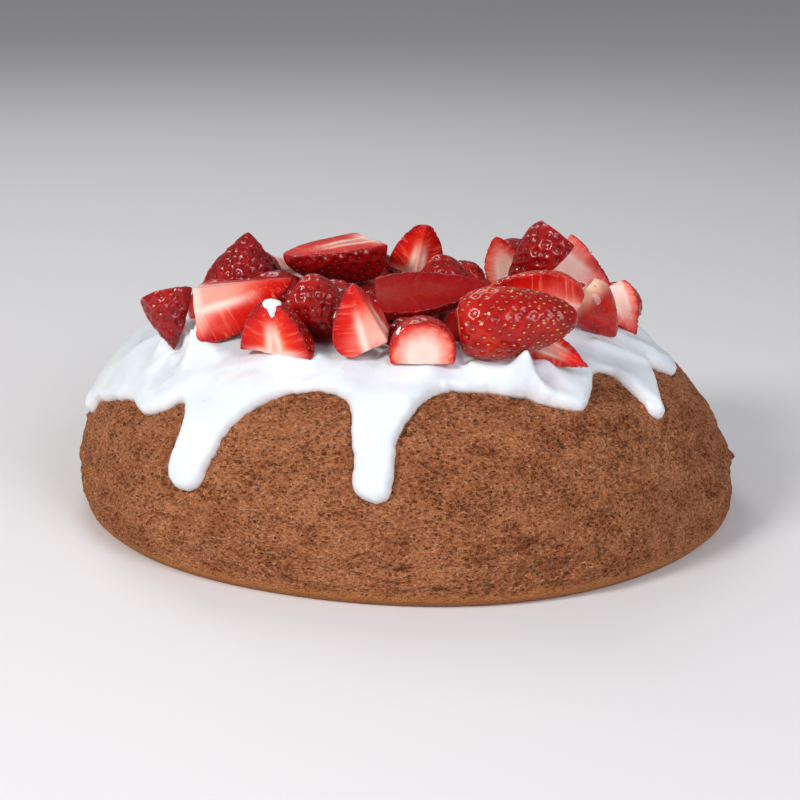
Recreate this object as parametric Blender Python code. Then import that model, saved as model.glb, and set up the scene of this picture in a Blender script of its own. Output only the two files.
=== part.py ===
"""A chocolate angel food cake, turned out of its tube pan, with white icing and cut strawberries.

Metres, +Z up. The cake stands on z = 0 with the pan's axis on the Z axis, and -Y is its front.
The cake is one ring with the tube's hole through it, the icing is one shell that lies over the
crown and runs down the sides in drips, and each piece of strawberry is a solid of its own.
"""

import math

import bmesh
import bpy
import numpy as np
from mathutils import Matrix, Vector

MM = 0.001

# The cake: a 10 inch tube pan, filled about 8 cm deep, turned out with its open side down.
PAN_RADIUS = 127.0 * MM
BELLY_HEIGHT = 8.0 * MM
FOOT_RADIUS = 123.0 * MM
FOOT_BULGE = 2.8 * MM
FOOT_BULGE_HEIGHT = 2.6 * MM
CROWN_RADIUS = 57.0 * MM
CROWN_HEIGHT = 71.5 * MM
SIDE_ROUNDNESS = 2.0
HOLE_RADIUS_FOOT = 24.0 * MM
HOLE_RADIUS_TOP = 27.0 * MM
HOLE_LIP = 13.0 * MM
HOLE_FOOT_EASE = 2.0 * MM
HOLE_MIDDLE_HEIGHT = 30.0 * MM
LEAN = -0.066
SIDE_WAVES = [(2, 0.56 * MM), (4, 0.7 * MM), (6, 0.42 * MM)]
CAKE_SEGMENTS = 40
SIDE_STEPS = 11
LIP_STEPS = 4

# The icing, poured on and left to run.
ICING_THICKNESS = 4.2 * MM
ICING_EDGE = 1.3 * MM
ICING_ROUND = 5.0 * MM
ICING_GAP = 0.6 * MM
ICING_BLEND = 7.0 * MM
ICING_COLUMNS = 66
ICING_ROWS = 18
ICING_SLIDE = 2.0 * MM
ICING_INNER_HEIGHT = 60.0 * MM
ICING_INNER_WAVES = [(2, 2.0 * MM, 1), (5, 1.0 * MM, 0)]
ICING_REACH_HEIGHT = 26.0 * MM
COLLAR_HEIGHT = 64.3 * MM
COLLAR_WAVES = [(9, 0.5 * MM, 0), (5, 0.4 * MM, 1)]

# Where the collar hangs lower: azimuth in degrees from the front, depth and half width.
COLLAR_SAGS = [
    (-88, 25.0 * MM, 34),
    (-54, 6.0 * MM, 7),
    (38, 7.0 * MM, 8.5),
    (80, 11.0 * MM, 8),
    (120, 6.0 * MM, 12),
    (160, 12.0 * MM, 11),
    (-158, 11.0 * MM, 13),
]

# Drips: azimuth of the root, azimuth and height of the tip, half width near the tip, how much
# wider the drip starts on its left and on its right, and how fast it draws in to that width.
DRIPS = [
    (-84, -85.3, 33.0 * MM, 4.8 * MM, 8.0 * MM, 8.0 * MM, 2.0),
    (-37.5, -38.4, 30.3 * MM, 7.6 * MM, 30.0 * MM, 19.0 * MM, 2.6),
    (-4.6, -4.5, 35.0 * MM, 6.8 * MM, 5.0 * MM, 13.0 * MM, 2.8),
    (66, 57.2, 48.1 * MM, 3.6 * MM, 13.0 * MM, 14.0 * MM, 1.1),
    (118, 116.0, 46.0 * MM, 5.5 * MM, 14.0 * MM, 10.0 * MM, 2.4),
    (138, 139.0, 33.0 * MM, 6.5 * MM, 12.0 * MM, 22.0 * MM, 2.6),
    (178, 180.0, 40.0 * MM, 5.5 * MM, 10.0 * MM, 12.0 * MM, 2.4),
    (-136, -135.0, 36.0 * MM, 6.5 * MM, 16.0 * MM, 12.0 * MM, 2.6),
    (-112, -114.0, 42.0 * MM, 5.5 * MM, 10.0 * MM, 14.0 * MM, 1.8),
]

# Strawberries, cut after hulling. Each row: name, cut, length and width of the whole berry in
# millimetres, how blunt its tip is, share of the length cut off with the calyx, middle of the
# piece in millimetres, the way its tip points, the way its main cut face looks, and the side
# that a quarter keeps.
#   half     cut once along its axis
#   quarter  cut twice along its axis
#   slice    a slab from beside the axis
#   chunk    a thick half, cut across near its tip as well
CONE, ROUND, BLUNT = 0.85, 0.7, 0.45
STRAWBERRIES = [
    ("front_1", "half", 34, 23, CONE, 0.38, (-87, -38, 75), (0.1, -0.5, -0.85), (0.6, 0.3, -0.7), 1),
    ("front_2", "quarter", 46, 39, ROUND, 0.22, (-59, -43, 80), (0.98, 0.05, 0.12), (-0.1, -1, 0.1), -1),
    ("front_3", "half", 33, 28, BLUNT, 0.38, (-45, -66, 80), (-0.1, -0.25, 1), (-0.35, -0.9, -0.1), 1),
    ("front_4", "half", 30, 22, ROUND, 0.12, (-33, -56, 79), (0.8, -0.35, -0.45), (0.1, 0.8, -0.5), 1),
    ("front_5", "quarter", 26, 34, ROUND, 0.08, (-13.5, -71, 83), (-0.5, 0, 0.85), (-0.1, -1, 0), 1),
    ("front_6", "chunk", 34, 24, ROUND, 0.22, (4.5, -76, 78), (0, 1, 0.15), (0, 0.15, -1), 1),
    ("front_7", "half", 43, 26, BLUNT, 0.03, (37.5, -73, 82), (0.95, -0.05, 0.1), (-0.05, 0.9, -0.3), 1),
    ("front_8", "quarter", 25, 17, CONE, 0.08, (51, -73, 74), (0.88, -0.15, -0.4), (0.1, -0.5, 0.85), 1),
    ("middle_1", "half", 31, 24, ROUND, 0.1, (-5, -28, 86), (-0.9, 0.2, 0), (0, 0.2, -1), 1),
    ("middle_2", "half", 48, 20, ROUND, 0.1, (6, -48, 83), (0.97, 0.1, 0.08), (0, -0.6, 0.8), 1),
    ("middle_3", "half", 30, 24, ROUND, 0.1, (15, -5, 83), (0.8, -0.3, -0.45), (-0.3, 0.3, -0.9), 1),
    ("middle_4", "quarter", 38, 30, ROUND, 0.08, (46, -44, 91), (-0.95, -0.05, 0.3), (0.1, -0.93, -0.25), -1),
    ("middle_5", "half", 25, 20, ROUND, 0.12, (65, -34, 82), (0.6, -0.2, -0.65), (-0.1, 0.8, -0.6), 1),
    ("middle_6", "slice", 24, 16, CONE, 0.08, (79, -15, 79), (0.45, -0.15, -0.88), (0.3, -0.9, 0.3), 1),
    ("middle_7", "half", 32, 24, ROUND, 0.12, (-50, -10, 82), (0.6, 0.6, 0), (0.1, 0, -1), 1),
    ("middle_8", "half", 32, 18, ROUND, 0.1, (57, -10, 79), (-0.2, -1, 0), (0, 0.1, 1), 1),
    ("middle_9", "half", 30, 22, ROUND, 0.1, (-71, -14, 77), (0.3, 0.9, 0.1), (0.3, 0, -1), 1),
    ("middle_10", "half", 28, 22, ROUND, 0.1, (-17, -46, 79), (0.9, 0.1, -0.1), (0, 0.3, -1), 1),
    ("middle_11", "half", 26, 19, ROUND, 0.1, (24, -54, 78), (0.9, 0.3, 0), (0, 0.2, -1), 1),
    ("middle_12", "half", 20, 15, ROUND, 0.1, (-5, -59, 77), (0.2, 0.9, 0.1), (0.1, 0.1, -1), 1),
    ("top_1", "half", 37, 35, CONE, 0.38, (-65, 11, 87), (0.05, 0.05, 1), (0.15, 1, 0.1), 1),
    ("top_2", "half", 48, 30, BLUNT, 0.2, (-29, 14, 89), (-0.85, -0.5, -0.08), (-0.08, -0.03, 1), 1),
    ("top_3", "quarter", 34, 33, BLUNT, 0.38, (2, 25, 91), (0.2, 0.1, 1), (-0.7, -0.7, 0.1), 1),
    ("top_4", "half", 38, 25, ROUND, 0.15, (51.5, 8, 83), (-0.68, -0.1, -0.72), (0.72, 0.25, -0.66), 1),
    ("top_5", "slice", 22, 18, ROUND, 0.08, (38, 30, 87), (-0.3, 0, 0.9), (-0.3, -0.9, 0.3), 1),
    ("top_6", "half", 38, 26, CONE, 0.3, (65.5, 19, 83), (0.8, -0.1, -0.4), (0.15, -0.9, 0.4), 1),
    ("back_1", "half", 34, 22, ROUND, 0.08, (-62, 42, 79), (-0.3, 0.9, 0), (0.1, 0.3, -1), 1),
    ("back_2", "half", 30, 18, ROUND, 0.08, (-36, 52, 78), (-0.95, 0.2, 0), (0, 0.25, -1), 1),
    ("back_3", "half", 36, 21, ROUND, 0.12, (4, 62, 79), (0.05, 1, -0.1), (0, 0, -1), 1),
    ("back_4", "half", 34, 24, ROUND, 0.08, (45, 51, 81), (0.7, 0.6, 0), (-0.1, 0.3, -1), 1),
    ("back_5", "chunk", 34, 22, ROUND, 0.22, (62, 42, 78), (0.6, -0.7, 0.1), (0.2, 0.2, -1), 1),
    ("back_6", "quarter", 30, 24, CONE, 0.08, (-25, 77, 74), (0.9, 0.3, -0.2), (0, 0.6, 0.7), 1),
    ("back_7", "slice", 32, 24, ROUND, 0.08, (-58, 62, 73), (-0.6, 0.6, -0.25), (-0.1, 0.3, 0.95), 1),
    ("back_8", "half", 24, 18, ROUND, 0.1, (24, 36, 77), (0.3, 0.9, 0), (0, 0, -1), 1),
    ("back_9", "half", 30, 20, ROUND, 0.15, (78, 20, 75), (0.3, 0.9, -0.1), (-0.3, 0.1, -1), 1),
    ("back_10", "half", 28, 20, ROUND, 0.1, (-13, 42, 78), (0.2, 0.9, 0.1), (0, 0, -1), 1),
    ("core_1", "half", 42, 28, ROUND, 0.08, (-5, 13, 70), (1, 0.1, 0), (0, 0, 1), 1),
    ("core_2", "half", 40, 28, ROUND, 0.08, (-4, -14, 70), (-1, 0.1, 0), (0, 0, 1), 1),
    ("core_3", "half", 28, 20, ROUND, 0.1, (28, -17, 82), (0.2, -0.9, 0), (0, 0, -1), 1),
    ("core_4", "half", 30, 22, ROUND, 0.1, (-32, -20, 82), (-0.5, -0.7, 0), (0, 0, -1), 1),
]
# A whole berry's radius is a sine of its length, drawn towards the calyx.
BERRY_SHOULDER = 0.62
BERRY_TURN = 0.13
CALYX_CUT_SLANT = (0.1, 0.05, -1)
HALF_CUT = -0.04
QUARTER_CUT = -0.02
SLICE_CUTS = (0.02, 0.27)
SLICE_TAPER = (1, 0, 0.05)
CHUNK_CUT = -0.14
CHUNK_TIP_CUT = 0.66
BERRY_SEGMENTS = 12
BERRY_RINGS = 6
BERRY_GAP = 0.45 * MM
BERRY_ICING_GAP = 0.5 * MM
# The heap is settled by small moves: pieces at the back give way more than those in front.
NUDGES = 900
PULL_HOME = 0.05
EASE_BEHIND = 1.0
EASE_IN_FRONT = 0.15
SETTLED = 0.02 * MM
SKIN_STEP = 4 * MM
SKIN_STEPS = 26
SKIN_TURNS = np.linspace(-1.4, 1.4, 43)


def clear_scene():
    for thing in list(bpy.data.objects):
        bpy.data.objects.remove(thing, do_unlink=True)


def material(name, colour, roughness):
    made = bpy.data.materials.new(name)
    made.use_nodes = True
    shader = made.node_tree.nodes["Principled BSDF"]
    shader.inputs["Base Color"].default_value = (*colour, 1.0)
    shader.inputs["Roughness"].default_value = roughness
    shader.inputs["Metallic"].default_value = 0.0
    return made


def add_object(bm, name, finish, crease_degrees=40):
    """Puts a finished bmesh into the scene as one named object."""
    mesh = bpy.data.meshes.new(name)
    bm.to_mesh(mesh)
    bm.free()
    mesh.shade_smooth()
    mesh.set_sharp_from_angle(angle=math.radians(crease_degrees))
    mesh.materials.append(finish)
    made = bpy.data.objects.new(name, mesh)
    bpy.context.scene.collection.objects.link(made)
    return made


# ---- The cake's own section, from the foot of its outer side over the crown into the hole ----

def side_curve(steps):
    """The outer side, from the belly up to the crown: a quarter of a superellipse."""
    power = 2 / SIDE_ROUNDNESS
    for step in range(steps + 1):
        turn = math.pi / 2 * step / steps
        yield (
            CROWN_RADIUS + (PAN_RADIUS - CROWN_RADIUS) * max(math.cos(turn), 0.0) ** power,
            BELLY_HEIGHT + (CROWN_HEIGHT - BELLY_HEIGHT) * math.sin(turn) ** power,
        )


def lip_curve(steps):
    """The rounded lip from the flat of the crown down into the hole."""
    for step in range(steps + 1):
        turn = math.pi / 2 * step / steps
        yield (
            HOLE_RADIUS_TOP + HOLE_LIP * (1 - math.sin(turn)),
            CROWN_HEIGHT - HOLE_LIP * (1 - math.cos(turn)),
        )


def section(side_steps, lip_steps):
    """The cake's whole section as (radius, height) points, anticlockwise from the foot."""
    foot = [(FOOT_RADIUS, 0.0), (FOOT_RADIUS + FOOT_BULGE, FOOT_BULGE_HEIGHT)]
    hole = [
        ((HOLE_RADIUS_FOOT + HOLE_RADIUS_TOP) / 2, HOLE_MIDDLE_HEIGHT),
        (HOLE_RADIUS_FOOT, HOLE_FOOT_EASE),
        (HOLE_RADIUS_FOOT + HOLE_FOOT_EASE, 0.0),
    ]
    return foot + list(side_curve(side_steps)) + list(lip_curve(lip_steps)) + hole


def leaning(height):
    """How far the pan's axis has moved sideways at a height: the crown sits off centre."""
    return LEAN * (height - BELLY_HEIGHT)


def uneven(radius, angle, height):
    """Places a point of the section at an angle from the front, with the real cake's lean."""
    wave = sum(depth * math.sin(count * angle) for count, depth in SIDE_WAVES)
    radius += wave * (radius / PAN_RADIUS) ** 2
    return Vector((radius * math.sin(angle) + leaning(height), -radius * math.cos(angle), height))


def make_cake():
    bm = bmesh.new()
    corners = [bm.verts.new((radius, 0.0, height)) for radius, height in section(SIDE_STEPS, LIP_STEPS)]
    loop = [bm.edges.new((a, b)) for a, b in zip(corners, corners[1:] + corners[:1])]
    bmesh.ops.spin(
        bm, geom=corners + loop, cent=(0, 0, 0), axis=(0, 0, 1), dvec=(0, 0, 0),
        angle=2 * math.pi, steps=CAKE_SEGMENTS, use_merge=True, use_normal_flip=False,
        use_duplicate=False,
    )
    for vertex in bm.verts:
        angle = math.atan2(vertex.co.x, -vertex.co.y)
        vertex.co = uneven(math.hypot(vertex.co.x, vertex.co.y), angle, vertex.co.z)
    bmesh.ops.recalc_face_normals(bm, faces=bm.faces)
    return add_object(bm, "cake", material("baked_sponge", (0.25, 0.10, 0.045), 0.9))


# ---- The icing: a flat sheet of (angle, way along the section), trimmed and wrapped on ----

def measured(points):
    """Way along a line of points, from its start."""
    steps = np.hypot(*np.diff(np.array(points), axis=0).T)
    return np.concatenate([[0.0], np.cumsum(steps)])


# Fine points of the section from inside the hole, over the crown, and down the outer side.
ROUTE = list(lip_curve(40))[::-1][:-1] + list(side_curve(160))[::-1]
ROUTE = [(HOLE_RADIUS_TOP - 0.5 * MM, CROWN_HEIGHT - 2 * HOLE_LIP)] + ROUTE
ROUTE_WAY = measured(ROUTE)
ROUTE_RADIUS = np.array([point[0] for point in ROUTE])
ROUTE_HEIGHT = np.array([point[1] for point in ROUTE])
CREST = int(np.argmax(ROUTE_HEIGHT))
SLOPE_SPAN = 3.0 * MM


def way_outside(height):
    """How far along the route the outer side comes down to a height."""
    return float(np.interp(-height, -ROUTE_HEIGHT[CREST:], ROUTE_WAY[CREST:]))


def way_inside(height):
    """How far along the route the hole's wall comes up to a height."""
    return float(np.interp(height, ROUTE_HEIGHT[:CREST + 1], ROUTE_WAY[:CREST + 1]))


def on_section(way, stand_off):
    """The route's point at a way along it, moved out square to the surface."""
    radius = np.interp(way, ROUTE_WAY, ROUTE_RADIUS)
    height = np.interp(way, ROUTE_WAY, ROUTE_HEIGHT)
    either_side = [way - SLOPE_SPAN, way + SLOPE_SPAN]
    along = np.interp(either_side, ROUTE_WAY, ROUTE_RADIUS)
    rise = np.interp(either_side, ROUTE_WAY, ROUTE_HEIGHT)
    slope = np.array([along[1] - along[0], rise[1] - rise[0]])
    slope /= np.hypot(*slope)
    return float(radius - slope[1] * stand_off), float(height + slope[0] * stand_off)


def turn_between(angle, other):
    """The shorter way round from one azimuth to another, in radians."""
    return (angle - other + math.pi) % (2 * math.pi) - math.pi


def waves(angle, terms):
    """A sum of waves round the cake, each with its count, depth and phase."""
    return sum(depth * math.sin(count * angle + phase) for count, depth, phase in terms)


def smooth_larger(a, b, blend):
    share = max(blend - abs(a - b), 0.0) / blend
    return max(a, b) + share * share * blend / 4


def inside_icing(angle, way):
    """How far a point lies inside the icing's outer edge, in metres; negative past it."""
    edge = COLLAR_HEIGHT + waves(angle, COLLAR_WAVES)
    for middle, depth, half in COLLAR_SAGS:
        edge -= depth * math.exp(-(turn_between(angle, math.radians(middle)) / math.radians(half)) ** 2)
    depth_in = way_outside(edge) - way
    root_way = way_outside(COLLAR_HEIGHT)
    for root, tip, tip_height, half, left_flare, right_flare, draw_in in DRIPS:
        tip_way = way_outside(tip_height) - half
        share = min(max((way - root_way) / (tip_way - root_way), 0.0), 1.0)
        middle = math.radians(root + (tip - root) * share)
        across = turn_between(angle, middle) * float(np.interp(way, ROUTE_WAY, ROUTE_RADIUS))
        down = way - (root_way + (tip_way - root_way) * share)
        flare = (left_flare if across < 0 else right_flare) * (1 - share) ** draw_in
        reach = half + flare - math.hypot(across, down)
        depth_in = smooth_larger(depth_in, reach, ICING_BLEND)
    return depth_in


def inner_edge(angle):
    """How far along the route the icing starts inside the hole."""
    return way_inside(ICING_INNER_HEIGHT + waves(angle, ICING_INNER_WAVES))


def cut_along_edge(bm, value):
    """Cuts a flat sheet where value(point) is zero and drops the part where it is negative.

    Corners that lie close to the cut are slid onto it first, so that it leaves no slivers.
    """
    nudge = 0.01 * MM
    for vertex in bm.verts:
        near = value(vertex.co)
        if abs(near) < ICING_SLIDE:
            slope = (value(vertex.co + Vector((0, nudge, 0))) - near) / nudge
            if abs(slope) > 0.5:
                vertex.co.y -= near / slope
    marks = {vertex: value(vertex.co) for vertex in bm.verts}
    marks = {vertex: 0.0 if abs(mark) < ICING_SLIDE / 10 else mark for vertex, mark in marks.items()}
    for edge in list(bm.edges):
        start, end = edge.verts
        if marks[start] * marks[end] < 0:
            share = marks[start] / (marks[start] - marks[end])
            for _ in range(3):
                near = value(start.co.lerp(end.co, share))
                share -= near / (marks[end] - marks[start])
                share = min(max(share, 0.05), 0.95)
            fresh = bmesh.utils.edge_split(edge, start, share)[1]
            marks[fresh] = 0.0
    for face in list(bm.faces):
        on_line = [vertex for vertex in face.verts if marks[vertex] == 0.0]
        signs = {marks[vertex] > 0 for vertex in face.verts if marks[vertex] != 0.0}
        if len(on_line) >= 2 and len(signs) == 2:
            bmesh.ops.connect_verts(bm, verts=on_line[:2])
    past = [face for face in bm.faces if min(marks[vertex] for vertex in face.verts) < 0]
    bmesh.ops.delete(bm, geom=past, context="FACES")


def icing_thickness(angle, way):
    """Full over the crown, rounding down to a blunt edge."""
    from_edge = min(inside_icing(angle, way), way - inner_edge(angle))
    share = min(max(from_edge / ICING_ROUND, 0.0), 1.0)
    return ICING_EDGE + (ICING_THICKNESS - ICING_EDGE) * math.sqrt(1 - (1 - share) ** 2)


def make_icing():
    lowest_inside = ICING_INNER_HEIGHT - sum(depth for count, depth, phase in ICING_INNER_WAVES) - MM
    start, end = way_inside(lowest_inside), way_outside(ICING_REACH_HEIGHT)
    bm = bmesh.new()
    bmesh.ops.create_grid(bm, x_segments=ICING_COLUMNS, y_segments=ICING_ROWS, size=1.0)
    for vertex in bm.verts:
        vertex.co.x *= math.pi
        share = (vertex.co.y + 1) / 2
        closer_at_the_lip = share * (0.55 + 0.45 * share)
        vertex.co.y = start + (end - start) * closer_at_the_lip
    cut_along_edge(bm, lambda point: inside_icing(point.x, point.y))
    cut_along_edge(bm, lambda point: point.y - inner_edge(point.x))

    angle_of = bm.verts.layers.float.new("angle")
    way_of = bm.verts.layers.float.new("way")
    for vertex in bm.verts:
        vertex[angle_of], vertex[way_of] = vertex.co.x, vertex.co.y
        radius, height = on_section(vertex[way_of], ICING_GAP)
        vertex.co = uneven(radius, vertex[angle_of], height)
    bmesh.ops.remove_doubles(bm, verts=bm.verts, dist=0.01 * MM)
    grown = bmesh.ops.extrude_face_region(bm, geom=bm.faces[:])["geom"]
    for vertex in (item for item in grown if isinstance(item, bmesh.types.BMVert)):
        thickness = icing_thickness(vertex[angle_of], vertex[way_of])
        radius, height = on_section(vertex[way_of], ICING_GAP + thickness)
        vertex.co = uneven(radius, vertex[angle_of], height)
    bmesh.ops.triangulate(bm, faces=bm.faces)
    bmesh.ops.recalc_face_normals(bm, faces=bm.faces)
    return add_object(bm, "icing", material("white_icing", (0.92, 0.93, 0.94), 0.25))


# ---- Strawberries ----

def cut_flat(bm, point, outward):
    """Cuts a piece with a knife and closes the cut; what lies on the outward side goes."""
    geometry = bm.verts[:] + bm.edges[:] + bm.faces[:]
    bmesh.ops.bisect_plane(
        bm, geom=geometry, dist=0.02 * MM, plane_co=point, plane_no=outward, clear_outer=True,
    )
    rim = [edge for edge in bm.edges if edge.is_boundary]
    bmesh.ops.edgeloop_fill(bm, edges=rim)


def strawberry(cut, length, width, bluntness, topped, side):
    """One piece in its own frame: calyx at 0, tip at +Z, main cut face looking along -X."""
    bm = bmesh.new()
    line = []
    for ring in range(BERRY_RINGS + 1):
        share = ring / BERRY_RINGS
        radius = width / 2 * max(math.sin(math.pi * share ** BERRY_SHOULDER), 0.0) ** bluntness
        line.append(bm.verts.new((radius if 0 < ring < BERRY_RINGS else 0.0, 0.0, length * share)))
    edges = [bm.edges.new(pair) for pair in zip(line, line[1:])]
    bmesh.ops.spin(
        bm, geom=line + edges, cent=(0, 0, 0), axis=(0, 0, 1), dvec=(0, 0, 0),
        angle=2 * math.pi, steps=BERRY_SEGMENTS, use_merge=True, use_normal_flip=False,
        use_duplicate=False,
    )
    bmesh.ops.remove_doubles(bm, verts=bm.verts, dist=0.05 * MM)
    bmesh.ops.rotate(bm, verts=bm.verts, cent=(0, 0, 0), matrix=Matrix.Rotation(BERRY_TURN, 3, "Z"))
    cut_flat(bm, (0, 0, topped * length), CALYX_CUT_SLANT)
    if cut == "half":
        cut_flat(bm, (HALF_CUT * width, 0, 0), (-1, 0, 0))
    if cut == "quarter":
        cut_flat(bm, (QUARTER_CUT * width, 0, 0), (-1, 0, 0))
        cut_flat(bm, (0, QUARTER_CUT * width * side, 0), (0, -side, 0))
    if cut == "slice":
        cut_flat(bm, (SLICE_CUTS[0] * width, 0, 0), (-1, 0, 0))
        cut_flat(bm, (SLICE_CUTS[1] * width, 0, 0), SLICE_TAPER)
    if cut == "chunk":
        cut_flat(bm, (CHUNK_CUT * width, 0, 0), (-1, 0, 0))
        cut_flat(bm, (0, 0, CHUNK_TIP_CUT * length), (0, 0, 1))
    bmesh.ops.recalc_face_normals(bm, faces=bm.faces)
    return bm


def turned(tip, face):
    """The rotation that points +Z along tip and -X along face."""
    z_axis = Vector(tip).normalized()
    x_axis = -Vector(face)
    x_axis = (x_axis - z_axis * x_axis.dot(z_axis)).normalized()
    return Matrix((x_axis, z_axis.cross(x_axis), z_axis)).transposed()


class Piece:
    """A strawberry piece on its way to its place: convex, so its corners and face planes do."""

    def __init__(self, row):
        name, cut, length, width, bluntness, topped, place, tip, face, side = row
        self.name = "strawberry_" + name
        self.bm = strawberry(cut, length * MM, width * MM, bluntness, topped, side)
        bmesh.ops.rotate(self.bm, verts=self.bm.verts, cent=(0, 0, 0), matrix=turned(tip, face))
        corners = np.array([vertex.co[:] for vertex in self.bm.verts])
        middle = (corners.min(0) + corners.max(0)) / 2
        bmesh.ops.translate(self.bm, verts=self.bm.verts, vec=Vector(-middle))
        self.bm.normal_update()
        self.corners = corners - middle
        self.normals = np.array([face.normal[:] for face in self.bm.faces])
        self.planes = np.array([face.verts[0].co.dot(face.normal) for face in self.bm.faces])
        self.reach = float(np.linalg.norm(self.corners, axis=1).max())
        self.wanted = np.array(place) * MM
        self.place = self.wanted.copy()
        hidden = "core" in self.name or "back" in self.name
        self.ease = EASE_BEHIND if hidden else EASE_IN_FRONT


def push_pair(one, other):
    """Moves two pieces apart along the shortest of their face directions, if they overlap."""
    apart = other.place - one.place
    distance = float(np.linalg.norm(apart))
    if distance > one.reach + other.reach + BERRY_GAP:
        return 0.0
    ways = np.vstack([one.normals, -other.normals, apart / max(distance, 1e-6)])
    overlap = (one.corners @ ways.T).max(0) - (other.corners @ ways.T).min(0) - ways @ apart + BERRY_GAP
    best = int(overlap.argmin())
    depth = float(overlap[best])
    if depth <= 0:
        return 0.0
    share = one.ease / (one.ease + other.ease)
    one.place -= ways[best] * depth * share
    other.place += ways[best] * depth * (1 - share)
    return depth


def icing_skin():
    """Points and outward directions of the icing's outer surface round the crown and the lip."""
    points, outward = [], []
    for step in range(SKIN_STEPS):
        way = way_inside(ICING_INNER_HEIGHT) + step * SKIN_STEP
        low = on_section(way, ICING_GAP + ICING_THICKNESS)
        high = on_section(way, ICING_GAP + ICING_THICKNESS + MM)
        points.append(low)
        outward.append(((high[0] - low[0]) / MM, (high[1] - low[1]) / MM))
    return np.array(points), np.array(outward)


def push_off_icing(piece, points, outward):
    """Lifts a piece off the icing, both where its corners and where its faces meet the crown."""
    corners = piece.corners + piece.place
    across = corners[:, :2] - [leaning(CROWN_HEIGHT), 0]
    radius = np.hypot(across[:, 0], across[:, 1])
    flat = np.stack([radius, corners[:, 2]], 1)
    nearest = np.argmin(((flat[:, None] - points[None]) ** 2).sum(2), 1)
    height = ((flat - points[nearest]) * outward[nearest]).sum(1)
    worst = int(height.argmin())
    lift = BERRY_ICING_GAP - float(height[worst])
    direction = outward[nearest[worst]]
    bearing = across[worst] / max(radius[worst], 1e-6)

    turns = np.arctan2(piece.place[1], piece.place[0] - leaning(CROWN_HEIGHT)) + SKIN_TURNS
    ring = np.stack([np.cos(turns), np.sin(turns)], 1)
    skin = points[:, None, :1] * ring[None] + [leaning(CROWN_HEIGHT), 0]
    heights = np.broadcast_to(points[:, None, 1:], skin.shape[:2] + (1,))
    skin = np.concatenate([skin, heights], 2) - piece.place
    depth = (piece.planes - skin @ piece.normals.T).min(2) + BERRY_ICING_GAP
    row, column = np.unravel_index(int(depth.argmax()), depth.shape)
    if float(depth[row, column]) > lift:
        lift, direction, bearing = float(depth[row, column]), outward[row], ring[column]
    if lift <= 0:
        return 0.0
    piece.place += lift * np.array([bearing[0] * direction[0], bearing[1] * direction[0], direction[1]])
    return lift


def spread_apart(pieces):
    """Nudges the heaped pieces until each lies clear of the others and of the icing.

    For the first half of the nudges each piece is also drawn back to where it belongs.
    """
    points, outward = icing_skin()
    for nudge in range(NUDGES):
        pull = PULL_HOME * max(0.0, 1 - 2 * nudge / NUDGES)
        worst = 0.0
        for piece in pieces:
            piece.place += (piece.wanted - piece.place) * pull
        for index, piece in enumerate(pieces):
            for other in pieces[index + 1:]:
                worst = max(worst, push_pair(piece, other))
        for piece in pieces:
            worst = max(worst, push_off_icing(piece, points, outward))
        if pull == 0.0 and worst < SETTLED:
            break


def make_strawberries():
    finish = material("fresh_strawberry", (0.42, 0.02, 0.015), 0.3)
    pieces = [Piece(row) for row in STRAWBERRIES]
    spread_apart(pieces)
    for piece in pieces:
        place = Vector(np.round(piece.place / MM, 1) * MM)
        bmesh.ops.translate(piece.bm, verts=piece.bm.verts, vec=place)
        add_object(piece.bm, piece.name, finish, crease_degrees=35)


clear_scene()
make_cake()
make_icing()
make_strawberries()
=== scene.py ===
import math

import bmesh
import bpy
import numpy as np
from mathutils import Matrix, Vector, kdtree, noise
from mathutils.bvhtree import BVHTree


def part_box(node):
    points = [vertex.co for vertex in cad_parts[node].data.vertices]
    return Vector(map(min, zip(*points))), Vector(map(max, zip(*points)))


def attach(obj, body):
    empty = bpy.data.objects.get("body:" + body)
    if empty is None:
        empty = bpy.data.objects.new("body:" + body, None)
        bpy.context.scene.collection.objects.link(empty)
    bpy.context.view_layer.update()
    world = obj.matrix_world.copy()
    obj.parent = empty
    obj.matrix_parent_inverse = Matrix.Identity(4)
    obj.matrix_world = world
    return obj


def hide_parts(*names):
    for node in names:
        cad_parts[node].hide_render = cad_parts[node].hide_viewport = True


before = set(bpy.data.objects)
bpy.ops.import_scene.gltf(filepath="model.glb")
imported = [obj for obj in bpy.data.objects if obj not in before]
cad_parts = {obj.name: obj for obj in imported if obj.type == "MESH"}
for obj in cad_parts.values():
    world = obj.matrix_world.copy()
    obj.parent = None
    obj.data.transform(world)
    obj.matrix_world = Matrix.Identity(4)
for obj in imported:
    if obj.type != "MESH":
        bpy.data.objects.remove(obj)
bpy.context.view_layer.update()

# ---- Sponge --------------------------------------------------------------------------------
# A chocolate angel food cake: one ring of egg white foam, baked in a tube pan and turned out
# upside down. The pan's wall pulls the crust off, which leaves a torn, open crumb of small
# pores with faint level creases, and a smooth paler skin round the foot.

# Sizes are in mm, and turn to metres as they enter a mesh or a material.
MM = 0.001
PAN_RADIUS = 127.0
BELLY_HEIGHT = 8.0
FOOT_RADIUS = 123.0
FOOT_BULGE = 2.8
FOOT_BULGE_HEIGHT = 2.6
CROWN_RADIUS = 57.0
CROWN_HEIGHT = 71.5
HOLE_RADIUS_FOOT = 24.0
HOLE_RADIUS_TOP = 27.0
HOLE_LIP = 13.0
HOLE_FOOT_EASE = 2.0
LEAN = -0.066
SIDE_WAVES = [(2, 0.56), (4, 0.7), (6, 0.42)]

CRUMB_STEP = 0.92
CRUMB_COLUMNS = 860
HIDDEN_STEP = 3.5
HIDDEN_COLUMNS = 215
ICED_FROM_HEIGHT = 66.0
FOOT_TURN_IN = 2.0
FOOT_SKIN_HEIGHT = 4.4
CRUMB_SQUAT = 1.7


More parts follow.
